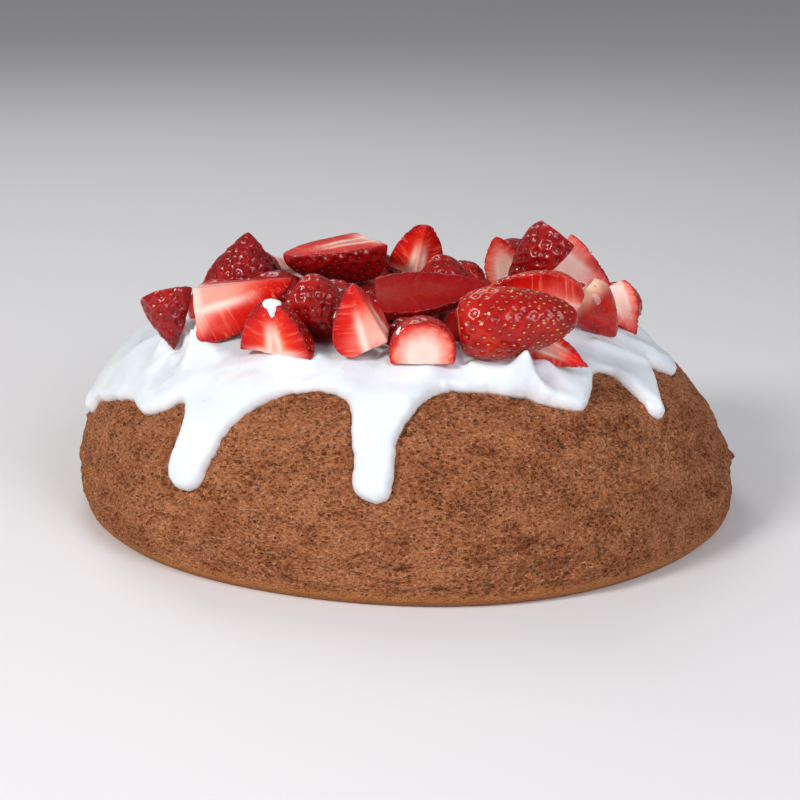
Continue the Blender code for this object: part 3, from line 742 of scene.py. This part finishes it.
BERRY_SHOULDER = 0.62
CALYX_CUT_SLANT = (0.1, 0.05, -1)
MAIN_CUT = {"half": -0.04, "quarter": -0.02, "slice": 0.02, "chunk": -0.14}
QUARTER_SIDE_CUT = -0.02
SLICE_BACK_CUT = 0.27
SLICE_TAPER = (1, 0, 0.05)
CHUNK_TIP_CUT = 0.66
BERRY_TURN = 0.13

# How ripe a piece is: how pale and how dark its flesh, how wide its core, how white the ring
# round the core and how white the core, how bright its skin, how far apart its seeds are in mm,
# how deep they sit, their size, how straw-coloured they are, and how pale its shoulder is. The
# look named shade and the last look are for pieces that lie in shade, and paint that shade in:
# darker skin on both, dimmer seeds on the first and much darker flesh on the last.
LOOKS = {
    "deep": (0.0, 0.35, 0.2, 0.2, 0.5, 0.2, 4.3, 0.75, 0.7, 0.2, 0.0),
    "ripe": (0.0, 0.0, 0.13, 0.85, 0.6, 0.45, 3.6, 0.6, 0.75, 0.4, 0.0),
    "shade": (0.0, 0.0, 0.2, 0.9, 0.3, 0.1, 4.3, 0.6, 0.65, 0.15, 0.0),
    "hero": (0.1, 0.0, 0.2, 0.3, 0.5, 0.55, 3.7, 0.42, 0.85, 0.8, 0.0),
    "orange": (0.15, 0.0, 0.2, 0.5, 0.6, 1.0, 3.4, 0.4, 0.75, 0.6, 0.0),
    "blush": (0.15, 0.0, 0.24, 0.9, 0.4, 0.6, 3.6, 0.6, 0.75, 0.4, 0.1),
    "peach": (0.5, 0.0, 0.2, 0.6, 0.8, 0.9, 5.2, 0.25, 0.6, 0.5, 1.0),
    "pale": (0.75, 0.0, 0.24, 0.75, 0.8, 0.7, 3.8, 0.4, 0.7, 0.4, 0.0),
    "dusk": (0.0, 0.9, 0.2, 0.0, 0.0, 0.2, 3.8, 0.6, 0.7, 0.2, 0.0),
}
CONE, ROUND, BLUNT = 0.85, 0.7, 0.45

# Each row, numbered from 1 in its group: length and width of the whole berry in mm, the way its
# tip points, the way its main cut face looks, and how ripe it is; for pieces that lie in shade, that
# look paints the shade on them. Then, where they aren't 0.1, "half", ROUND and 1: the share of
# the length cut off with the calyx, the cut, how blunt the tip is, and the side that a quarter keeps.
STRAWBERRIES = {
    "front": [
        (34, 23, (0.1, -0.5, -0.85), (0.6, 0.3, -0.7), "deep", 0.38, "half", CONE),
        (46, 39, (0.98, 0.05, 0.12), (-0.1, -1, 0.1), "blush", 0.22, "quarter", ROUND, -1),
        (33, 28, (-0.1, -0.25, 1), (-0.35, -0.9, -0.1), "ripe", 0.38, "half", BLUNT),
        (30, 22, (0.8, -0.35, -0.45), (0.1, 0.8, -0.5), "dusk", 0.12),
        (26, 34, (-0.5, 0, 0.85), (-0.1, -1, 0), "blush", 0.08, "quarter"),
        (34, 24, (0, 1, 0.15), (0, 0.15, -1), "pale", 0.22, "chunk"),
        (43, 26, (0.95, -0.05, 0.1), (-0.05, 0.9, -0.3), "hero", 0.03, "half", BLUNT),
        (25, 17, (0.88, -0.15, -0.4), (0.1, -0.5, 0.85), "blush", 0.08, "quarter", CONE),
    ],
    "middle": [
        (31, 24, (-0.9, 0.2, 0), (0, 0.2, -1), "dusk"),
        (48, 20, (0.97, 0.1, 0.08), (0, -0.6, 0.8), "dusk"),
        (30, 24, (0.8, -0.3, -0.45), (-0.3, 0.3, -0.9), "deep"),
        (38, 30, (-0.95, -0.05, 0.3), (0.1, -0.93, -0.25), "orange", 0.08, "quarter", ROUND, -1),
        (25, 20, (0.6, -0.2, -0.65), (-0.1, 0.8, -0.6), "peach", 0.12),
        (24, 16, (0.45, -0.15, -0.88), (0.3, -0.9, 0.3), "pale", 0.08, "slice", CONE),
        (32, 24, (0.6, 0.6, 0), (0.1, 0, -1), "dusk", 0.12),
        (32, 18, (-0.2, -1, 0), (0, 0.1, 1), "deep"),
        (30, 22, (0.3, 0.9, 0.1), (0.3, 0, -1), "ripe"),
        (28, 22, (0.9, 0.1, -0.1), (0, 0.3, -1), "dusk"),
        (26, 19, (0.9, 0.3, 0), (0, 0.2, -1), "dusk"),
        (20, 15, (0.2, 0.9, 0.1), (0.1, 0.1, -1), "dusk"),
    ],
    "top": [
        (37, 35, (0.05, 0.05, 1), (0.15, 1, 0.1), "deep", 0.38, "half", CONE),
        (48, 30, (-0.85, -0.5, -0.08), (-0.08, -0.03, 1), "shade", 0.2, "half", BLUNT),
        (34, 33, (0.2, 0.1, 1), (-0.7, -0.7, 0.1), "ripe", 0.38, "quarter", BLUNT),
        (38, 25, (-0.68, -0.1, -0.72), (0.72, 0.25, -0.66), "deep", 0.15),
        (22, 18, (-0.3, 0, 0.9), (-0.3, -0.9, 0.3), "pale", 0.08, "slice"),
        (38, 26, (0.8, -0.1, -0.4), (0.15, -0.9, 0.4), "pale", 0.3, "half", CONE),
    ],
    "back": [
        (34, 22, (-0.3, 0.9, 0), (0.1, 0.3, -1), "ripe", 0.08),
        (30, 18, (-0.95, 0.2, 0), (0, 0.25, -1), "deep", 0.08),
        (36, 21, (0.05, 1, -0.1), (0, 0, -1), "ripe", 0.12),
        (34, 24, (0.7, 0.6, 0), (-0.1, 0.3, -1), "deep", 0.08),
        (34, 22, (0.6, -0.7, 0.1), (0.2, 0.2, -1), "blush", 0.22, "chunk"),
        (30, 24, (0.9, 0.3, -0.2), (0, 0.6, 0.7), "blush", 0.08, "quarter", CONE),
        (32, 24, (-0.6, 0.6, -0.25), (-0.1, 0.3, 0.95), "pale", 0.08, "slice"),
        (24, 18, (0.3, 0.9, 0), (0, 0, -1), "dusk"),
        (30, 20, (0.3, 0.9, -0.1), (-0.3, 0.1, -1), "ripe", 0.15),
        (28, 20, (0.2, 0.9, 0.1), (0, 0, -1), "deep"),
    ],
    "core": [
        (42, 28, (1, 0.1, 0), (0, 0, 1), "dusk", 0.08),
        (40, 28, (-1, 0.1, 0), (0, 0, 1), "dusk", 0.08),
        (28, 20, (0.2, -0.9, 0), (0, 0, -1), "dusk"),
        (30, 22, (-0.5, -0.7, 0), (0, 0, -1), "dusk"),
    ],
}

SKIN_DEEP = 0.4
SHOWN_GRAIN = 0.55
HIDDEN_GRAIN = 0.85
SHOWN_MIDDLE = [f"middle_{number}" for number in range(1, 7)]
SEED_REACH = 0.45
SEED_FACING = 0.8
SEEDLESS_TIP = 0.96
SEED_SUNK = 0.06
DEEPEST_DIMPLE = 0.75


def berry_radius(share, width, bluntness):
    """A whole berry's radius at a share of its length from the calyx."""
    sine = np.sin(np.pi * np.clip(share, 0.0, 1.0) ** BERRY_SHOULDER)
    return width / 2 * np.maximum(sine, 0.0) ** bluntness


def cut_flat(bm, point, outward):
    """Cuts a piece with a knife and closes the cut; what lies on the outward side goes."""
    geometry = bm.verts[:] + bm.edges[:] + bm.faces[:]
    bmesh.ops.bisect_plane(
        bm, geom=geometry, dist=0.01, plane_co=point, plane_no=outward, clear_outer=True,
    )
    bmesh.ops.edgeloop_fill(bm, edges=[edge for edge in bm.edges if edge.is_boundary])


def cut_berry(cut, length, width, bluntness, topped, side):
    """One piece in mm in its own frame: calyx at 0, tip at +Z, main cut face looking along -X."""
    bm = bmesh.new()
    shares = 1 - np.linspace(1.0, 0.0, 33) ** 1.5
    radii = berry_radius(shares, width, bluntness)
    line = [bm.verts.new((radius, 0.0, length * share)) for radius, share in zip(radii, shares)]
    edges = [bm.edges.new(pair) for pair in zip(line, line[1:])]
    bmesh.ops.spin(
        bm, geom=line + edges, cent=(0, 0, 0), axis=(0, 0, 1), dvec=(0, 0, 0),
        angle=2 * math.pi, steps=56, use_merge=True, use_normal_flip=False, use_duplicate=False,
    )
    bmesh.ops.remove_doubles(bm, verts=bm.verts, dist=0.02)
    bmesh.ops.rotate(bm, verts=bm.verts, cent=(0, 0, 0), matrix=Matrix.Rotation(BERRY_TURN, 3, "Z"))
    cut_flat(bm, (0, 0, topped * length), CALYX_CUT_SLANT)
    cut_flat(bm, (MAIN_CUT[cut] * width, 0, 0), (-1, 0, 0))
    if cut == "quarter":
        cut_flat(bm, (0, QUARTER_SIDE_CUT * width * side, 0), (0, -side, 0))
    if cut == "slice":
        cut_flat(bm, (SLICE_BACK_CUT * width, 0, 0), SLICE_TAPER)
    if cut == "chunk":
        cut_flat(bm, (0, 0, CHUNK_TIP_CUT * length), (0, 0, 1))
    bmesh.ops.recalc_face_normals(bm, faces=bm.faces)
    return bm


def evened(bm, grain):
    """The same body with even quads all over and its knife edges just rounded."""
    mesh = bpy.data.meshes.new("draft")
    bm.to_mesh(mesh)
    bm.free()
    draft = placed("draft", mesh)
    remesh = draft.modifiers.new("even", "REMESH")
    remesh.mode = "VOXEL"
    remesh.voxel_size = grain
    even = bpy.data.meshes.new_from_object(draft.evaluated_get(bpy.context.evaluated_depsgraph_get()))
    bpy.data.objects.remove(draft)
    bpy.data.meshes.remove(mesh)
    bm = bmesh.new()
    bm.from_mesh(even)
    bpy.data.meshes.remove(even)
    for _ in range(3):
        bmesh.ops.smooth_vert(
            bm, verts=bm.verts, factor=0.5, use_axis_x=True, use_axis_y=True, use_axis_z=True,
        )
    return bm


def seed_sites(length, width, bluntness, spacing):
    """Seeds in a spiral over a whole berry, closer together towards the tip: share and turn."""
    shares = np.linspace(0.0, 1.0, 400)
    radii = berry_radius(shares, width, bluntness)
    steps = np.hypot(np.diff(radii), np.diff(shares) * length)
    middles = (shares[1:] + shares[:-1]) / 2
    gaps = spacing * (1.1 - 0.35 * middles)
    rings = 2 * np.pi * berry_radius(middles, width, bluntness) * steps / gaps ** 2
    counts = np.concatenate([[0.0], np.cumsum(rings)])
    number = np.arange(int(counts[-1]))
    golden = math.pi * (3 - math.sqrt(5))
    # The two sines scatter the seeds a little, and the same way each time.
    stray = 0.9 * np.sin(number * 12.99) * spacing / np.maximum(width, 1.0)
    return np.interp(number + 0.5 + np.sin(number * 7.23), counts, shares), number * golden + 0.5 * stray


def on_berry(share, turn, length, width, bluntness):
    """A point on a whole berry's skin, and its outward and lengthwise directions."""
    step = 0.004
    below, radius, above = (
        float(berry_radius(share + aside, width, bluntness)) for aside in (-step, 0, step)
    )
    ahead = above - below
    along = Vector((ahead * math.cos(turn), ahead * math.sin(turn), 2 * step * length)).normalized()
    around = Vector((-math.sin(turn), math.cos(turn), 0.0))
    return (
        Vector((radius * math.cos(turn), radius * math.sin(turn), length * share)),
        around.cross(along).normalized(),
        along,
    )


def turned(tip, face):
    """The rotation that points +Z along tip and -X along face."""
    z_axis = Vector(tip).normalized()
    x_axis = -Vector(face)
    x_axis = (x_axis - z_axis * x_axis.dot(z_axis)).normalized()
    return Matrix((x_axis, z_axis.cross(x_axis), z_axis)).transposed()


# Ripe strawberry: the skin is a thin wet film over red flesh, with a sharp gloss on the swells
# between its seeds. The cut flesh is wet and fibrous: red at the skin, paler at the ring.
strawberry_material, tree, shader = new_material("ripe_strawberry")
skin, depth, pale, dark_and_shade, bright, dimple_shade, pith, shoulder = (
    add_node(tree, "Attribute", attribute_name=name).outputs["Fac"]
    for name in ("skin", "flesh_depth", "pale", "dark_and_shade", "bright", "dimple_shade", "pith", "shoulder")
)
fibre, grown_at = (
    add_node(tree, "Attribute", attribute_name=name).outputs["Vector"] for name in ("fibre", "grown_at")
)
# The place grown at is in mm, so its scale is one over a swell's size. The fibres' place is
# already stretched along them.
streaks, clouds, grain = (
    add_node(tree, "TexNoise", {"Vector": vector, "Scale": scale, "Detail": detail})
    for vector, scale, detail in ((fibre, 1.0, 2.0), (grown_at, 0.14, 3.0), (grown_at, 1.5, 3.0))
)
for pattern, amount in ((streaks, 0.42), (clouds, 0.5), (grain, 0.08)):
    depth = add_node(tree, "Math", {0: pattern, 1: amount, 2: depth}, operation="MULTIPLY_ADD")
depth = add_node(tree, "Math", {0: depth, 1: 0.5}, operation="SUBTRACT")
red_flesh, pale_flesh, deep_skin, bright_skin, veins = (
    add_node(tree, "ValToRGB", {"Fac": pattern}, stops=stops)
    for pattern, stops in (
        (depth, [
            (0.0, "#A60A0D"), (0.14, "#C8100C"), (0.36, "#D81C0C"), (0.56, "#E43414"),
            (0.74, "#EA6236"), (0.86, "#E64E28"), (1.0, "#E0401E"),
        ]),
        (depth, [
            (0.0, "#C01C18"), (0.10, "#E04434"), (0.24, "#F07A68"), (0.42, "#F49E90"),
            (0.62, "#FBCDC2"), (0.80, "#F9C2B6"), (1.0, "#F6B6A6"),
        ]),
        (clouds, [(0.3, "#76070C"), (0.5, "#900A0F"), (0.7, "#A81115")]),
        (clouds, [(0.3, "#B20F0D"), (0.5, "#C6190F"), (0.7, "#DA3318")]),
        (streaks, [(0.57, 0.0), (0.68, 0.26)]),
    )
)
# Painted shade: the skin in the dimples round the seeds is painted darker.
dimple_shade_share = add_node(tree, "Math", {0: dimple_shade, 1: 0.55}, operation="MULTIPLY")
# Flesh and skin: which share of each is the paler or brighter, and the layers of colour on it.
# The flesh's dark layer is the deep red of some pieces, and painted shade on pieces that lie in shade.
tones = []
for share, plain, other, layers in (
    (pale, red_flesh, pale_flesh, [(veins, "#F2A587"), (pith, "#FADCCE"), (dark_and_shade, "#86090F")]),
    (bright, deep_skin, bright_skin, [(dimple_shade_share, "#650509"), (shoulder, "#F8CFAE")]),
):
    tone = plain
    for factor, colour in [(share, other)] + [(factor, srgb(code)) for factor, code in layers]:
        tone = add_node(tree, "Mix", {FACTOR: factor, FIRST: tone, SECOND: colour}, data_type="RGBA")
    tones.append(tone)
surface = add_node(
    tree, "Mix", {FACTOR: skin, FIRST: tones[0], SECOND: tones[1]}, data_type="RGBA",
)
wet_patches = add_node(
    tree, "MapRange",
    {"Value": clouds, "From Min": 0.35, "From Max": 0.65, "To Min": 0.26, "To Max": 0.42},
)
wetness = add_node(tree, "Mix", {"Factor": skin, "A": wet_patches, "B": 0.24})
wet_film = add_node(tree, "MapRange", {"Value": skin, "To Min": 0.05, "To Max": 0.42})
fibres = add_node(tree, "Bump", {"Height": streaks, "Strength": 0.3, "Distance": 0.4 * MM})
grained = add_node(
    tree, "Bump", {"Height": grain, "Strength": 0.4, "Distance": 0.35 * MM, "Normal": fibres},
)
set_inputs(tree, shader, {
    "Base Color": surface, "Roughness": wetness, "Coat Weight": wet_film, "Normal": grained,
    "IOR": 1.36, "Specular IOR Level": 0.28, "Coat Roughness": 0.07, "Subsurface Weight": 0.15,
    "Subsurface Radius": (1.0, 0.22, 0.14), "Subsurface Scale": 2.0 * MM,
})

# Strawberry seeds are small dry fruits with a hard, smooth shell: straw-coloured where they ripen
# in the light, and reddish brown under the wet film of a dark berry. On the look named shade they
# are painted dimmer as well: painted shade.
seed_material, tree, shader = new_material("strawberry_seed_shell")
straw = add_node(tree, "Attribute", attribute_name="straw").outputs["Fac"]
seed_tone = add_node(
    tree, "Mix", {FACTOR: straw, FIRST: srgb("#8A2A1A"), SECOND: srgb("#E2A046")}, data_type="RGBA",
)
set_inputs(tree, shader, {"Base Color": seed_tone, "Roughness": 0.3, "IOR": 1.5})

SEED_LONG = 1.5
SEED_WIDE = 0.75
SEED_THICK = 0.6

bm = bmesh.new()
bmesh.ops.create_uvsphere(bm, u_segments=6, v_segments=5, radius=0.5)
bmesh.ops.scale(bm, verts=bm.verts, vec=(SEED_LONG, SEED_WIDE, SEED_THICK))
for seed_face in bm.faces:
    seed_face.material_index = 1
seed_mesh = bpy.data.meshes.new("seed")
bm.to_mesh(seed_mesh)
bm.free()


def hash_of(name):
    """A small number that is the same for a name each time."""
    return sum(ord(letter) * (place + 3) for place, letter in enumerate(name))


def make_strawberry(
    name, length, width, tip, face, ripeness, topped=0.1, cut="half", bluntness=ROUND, side=1,
):
    """Builds one piece of fruit where its frame solid lies."""
    paleness, darkness_and_shade, core_wide, core_white, core_fill, brightness = LOOKS[ripeness][:6]
    spacing, dimple_depth, seed_size, straw_share, pale_shoulder = LOOKS[ripeness][6:]
    shown = name.startswith(("front", "top")) or name in SHOWN_MIDDLE
    bm = cut_berry(cut, length, width, bluntness, topped, side)
    bm = evened(bm, SHOWN_GRAIN if shown else HIDDEN_GRAIN)
    places = np.array([vertex.co[:] for vertex in bm.verts])
    share = places[:, 2] / length
    radius = np.hypot(places[:, 0], places[:, 1])
    full = berry_radius(share, width, bluntness)
    ahead = berry_radius(share + 0.01, width, bluntness) - berry_radius(share - 0.01, width, bluntness)
    deep = np.maximum(full - radius, 0.0) / np.sqrt(1 + (ahead / (0.02 * length)) ** 2)
    on_skin_share = np.clip((SKIN_DEEP + 0.25 - deep) / 0.3, 0.0, 1.0)

    surface = BVHTree.FromBMesh(bm)
    sites = []
    for site_share, turn in zip(*seed_sites(length, width, bluntness, spacing)):
        place, out, along = on_berry(site_share, turn, length, width, bluntness)
        nearest = surface.find_nearest(place)
        facing = nearest[0] is not None and nearest[1].dot(out) > SEED_FACING
        if facing and nearest[3] < SEED_REACH and site_share < SEEDLESS_TIP:
            sites.append((place, out, along))
    hollows = kdtree.KDTree(max(1, len(sites)))
    for index, site in enumerate(sites):
        hollows.insert(site[0], index)
    hollows.balance()

    bm.normal_update()
    keys = ("skin", "flesh_depth", "pale", "dark_and_shade", "pith", "bright", "dimple_shade", "straw", "shoulder")
    layers = {key: bm.verts.layers.float.new(key) for key in keys}
    fibre_of = bm.verts.layers.float_vector.new("fibre")
    grown_of = bm.verts.layers.float_vector.new("grown_at")
    number = hash_of(name)
    offset = Vector(((number % 17) * 3.1, (number % 11) * 5.3, 0.0))
    moved = []
    for index, vertex in enumerate(bm.verts):
        here = vertex.co.copy()
        skin_share = float(on_skin_share[index])
        from_axis = float(radius[index])
        inward = float(deep[index])
        along = float(share[index])
        distance = hollows.find(here)[2] if sites else spacing
        hollow = 1 - ease(0.12 * spacing, 0.56 * spacing, distance)
        relief = -dimple_depth * hollow * skin_share
        relief += 0.14 * noise.noise(here / 2.4) * (1 - skin_share) + 0.35 * noise.noise(here / 9.0 + offset)
        moved.append(here + vertex.normal * relief)
        turn = math.atan2(here.y, here.x)
        vertex[layers["skin"]] = skin_share
        vertex[layers["flesh_depth"]] = min(inward / (width / 2), 1.0)
        vertex[layers["pale"]] = min(max(paleness + 1.1 * (0.4 - along), 0.0), 1.0)
        core_radius = core_wide * width * max(1.0 - along, 0.0) ** 0.8
        ring = math.exp(-((from_axis - core_radius) / (0.05 * width)) ** 2)
        inner = core_fill * ease(core_radius, 0.6 * core_radius, from_axis)
        rind = 0.8 * ease(topped + 0.11, topped + 0.03, along) * ease(0.0, 0.35 * width, inward)
        spread = ease(topped + 0.75 * (1 - topped), topped + 0.3 * (1 - topped), along)
        vertex[layers["pith"]] = min(core_white * max(max(ring, inner) * spread, rind), 1.0)
        # The flesh is darker on deep red pieces, and painted darker as painted shade on pieces that lie in
        # shade.
        vertex[layers["dark_and_shade"]] = darkness_and_shade
        vertex[layers["bright"]] = min(max(brightness + 0.6 * (0.3 - along), 0.0), 1.0)
        vertex[layers["shoulder"]] = pale_shoulder * ease(topped + 0.36, topped + 0.02, along)
        # Painted shade in the dimples round the seeds.
        vertex[layers["dimple_shade"]] = hollow * skin_share * dimple_depth / DEEPEST_DIMPLE
        vertex[fibre_of] = (turn * 4.0, (here.z - 0.45 * from_axis) / 1.1, from_axis / 10)
        vertex[grown_of] = here + offset
    for vertex, place in zip(bm.verts, moved):
        vertex.co = place

    body_corners = len(bm.verts)
    for place, out, along in sites:
        stand = Matrix((along, out.cross(along), out)).transposed().to_4x4() @ Matrix.Scale(seed_size, 4)
        seed = seed_mesh.copy()
        seed.transform(Matrix.Translation(place - out * (dimple_depth - SEED_SUNK)) @ stand)
        bm.from_mesh(seed)
        bpy.data.meshes.remove(seed)
    for vertex in list(bm.verts)[body_corners:]:
        vertex[layers["straw"]] = straw_share * (0.8 + 0.9 * noise.noise(vertex.co / 4.0))

    bmesh.ops.rotate(bm, verts=bm.verts, cent=(0, 0, 0), matrix=turned(tip, face))
    corners = np.array([vertex.co[:] for vertex in bm.verts])
    low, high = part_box("strawberry_" + name)
    bmesh.ops.translate(bm, verts=bm.verts, vec=-Vector((corners.min(0) + corners.max(0)) / 2))
    bmesh.ops.scale(bm, verts=bm.verts, vec=(MM, MM, MM))
    bmesh.ops.translate(bm, verts=bm.verts, vec=(low + high) / 2)
    piece = finished(bm, "cut_strawberry_" + name, strawberry_material, seed_material)
    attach(piece, "root")
    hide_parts("strawberry_" + name)


for group, rows in STRAWBERRIES.items():
    for number, row in enumerate(rows, 1):
        make_strawberry(f"{group}_{number}", *row)

# ---- Icing dabs and painted highlights -----------------------------------------------------
# Dabs of the same icing that the spoon dropped on the fruit and that the fruit took with it when
# it was pressed in. They stick where they fell, and the largest has begun to run down a cut face.
# The small dabs on front_5 and front_6 are white blobs put where those pieces show a highlight:
# painted highlights.

# Each dab lies on one piece of fruit and is a string of flat blobs: where in the piece's box they
# lie, as shares of its width, depth and height, and their radius in mm.
ICING_DABS_AND_HIGHLIGHTS = [
    ("front_3", [
        (0.39, 0.12, 0.95, 1.8), (0.45, 0.12, 0.96, 2.0), (0.51, 0.12, 0.95, 1.8), (0.45, 0.1, 0.90, 2.0),
        (0.45, 0.1, 0.84, 1.6), (0.45, 0.1, 0.78, 1.2), (0.44, 0.1, 0.73, 0.8),
    ]),
    ("front_2", [(0.03, 0.1, 0.20, 2.0), (0.07, 0.1, 0.12, 2.2), (0.02, 0.2, 0.28, 1.3)]),
    # Painted highlight: white blobs put where this piece shows a highlight.
    ("front_5", [(0.10, 0.2, 0.60, 1.1), (0.07, 0.2, 0.53, 1.3), (0.05, 0.2, 0.46, 1.0)]),
    # Painted highlight: white blobs put where this piece shows a highlight.
    ("front_6", [(0.12, 0.1, 0.80, 1.3), (0.15, 0.05, 0.70, 1.1)]),
]
DAB_FLATNESS = 0.4
DAB_GRAIN = 0.32
DAB_UNEVEN = 0.35
DAB_SWELL = 1.8

bm = bmesh.new()
for name, blobs in ICING_DABS_AND_HIGHLIGHTS:
    low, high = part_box("strawberry_" + name)
    fruit = bpy.data.objects["cut_strawberry_" + name]
    for across, back, up, radius in blobs:
        aim = Vector((
            low.x + (high.x - low.x) * across,
            low.y + (high.y - low.y) * back,
            low.z + (high.z - low.z) * up,
        ))
        place, outward = fruit.closest_point_on_mesh(aim)[1:3]
        lie = outward.to_track_quat("Z", "Y").to_matrix().to_4x4()
        shape = Matrix.Diagonal((radius, radius, DAB_FLATNESS * radius, 1.0))
        bmesh.ops.create_uvsphere(
            bm, u_segments=16, v_segments=10, radius=1.0,
            matrix=Matrix.Translation(place / MM) @ lie @ shape,
        )
bm = evened(bm, DAB_GRAIN)
for vertex in bm.verts:
    vertex.co += Vector((0, 0, DAB_UNEVEN)) * noise.noise(vertex.co / DAB_SWELL)
bmesh.ops.scale(bm, verts=bm.verts, vec=(MM, MM, MM))
dabs_and_highlights = finished(bm, "icing_dabs_and_highlights", icing_material)
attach(dabs_and_highlights, "root")

# ---- Studio --------------------------------------------------------------------------------
# A plain pale floor, a large soft light from the upper left, a broader one from the right, a weak
# one from above the back, and pale surroundings.

FLOOR_HALF = 4.0
FLOOR_DROP = 0.2 * MM

bm = bmesh.new()
bmesh.ops.create_grid(bm, x_segments=1, y_segments=1, size=FLOOR_HALF)
bmesh.ops.translate(bm, verts=bm.verts, vec=(0, 0, -FLOOR_DROP))
floor_material, tree, shader = new_material("pale_studio_floor")
set_inputs(tree, shader, {"Base Color": srgb("#E8E6E8"), "Roughness": 0.6})
finished(bm, "studio_floor", floor_material)

# Each soft light: its name, place, aim and size in metres, its power in watts and its colour.
for name, place, aim, size, power, colour in (
    ("key_left", (-0.9, -0.85, 0.85), (0, 0, 0.05), 0.45, 15.0, "#FFFDF8"),
    ("fill_right", (0.75, -1.1, 0.8), (0.02, 0, 0.06), 0.8, 11.5, "#F6F9FF"),
    ("top_back", (-0.3, 0.9, 1.1), (0, 0, 0.08), 0.6, 4.0, "#FFFFFF"),
):
    light = bpy.data.lights.new(name, "AREA")
    light.shape = "DISK"
    light.size = size
    light.energy = power
    light.color = srgb(colour)[:3]
    lamp = placed(name, light)
    lamp.location = place
    lamp.rotation_euler = (Vector(aim) - Vector(place)).to_track_quat("-Z", "Y").to_euler()

world = bpy.data.worlds.new("pale_surroundings")
world.use_nodes = True
set_inputs(
    world.node_tree, world.node_tree.nodes["Background"], {"Color": srgb("#EEF0F4"), "Strength": 0.27},
)
bpy.context.scene.world = world
bpy.context.scene.view_settings.view_transform = "Standard"

# The camera: how far above level it stands, in radians, and from the foot's centre in metres; its
# focal length, and how far the foot's centre lies left of and above the middle of the view, as
# shares of the view's width; and how far it is rolled, in radians.
VIEW_HEIGHT = math.radians(18.5)
VIEW_DISTANCE = 0.757
FOCAL = 2.375
LOOK_ASIDE = 0.010625
LOOK_DOWN = 0.111875
VIEW_ROLL = 0.014
SENSOR_WIDTH = 36.0

eye = Vector((0, -VIEW_DISTANCE * math.cos(VIEW_HEIGHT), VIEW_DISTANCE * math.sin(VIEW_HEIGHT)))
turn_aside = math.atan(LOOK_ASIDE / FOCAL)
turn_down = VIEW_HEIGHT - math.atan(LOOK_DOWN / FOCAL)
camera_data = bpy.data.cameras.new("camera")
camera_data.sensor_width = SENSOR_WIDTH
camera_data.lens = FOCAL * SENSOR_WIDTH
camera_data.clip_start = 0.05
camera = placed("camera", camera_data)
camera.matrix_world = (
    Matrix.Translation(eye) @ Matrix.Rotation(turn_aside, 4, "Z")
    @ Matrix.Rotation(math.pi / 2 - turn_down, 4, "X") @ Matrix.Rotation(VIEW_ROLL, 4, "Z")
)
bpy.context.scene.camera = camera
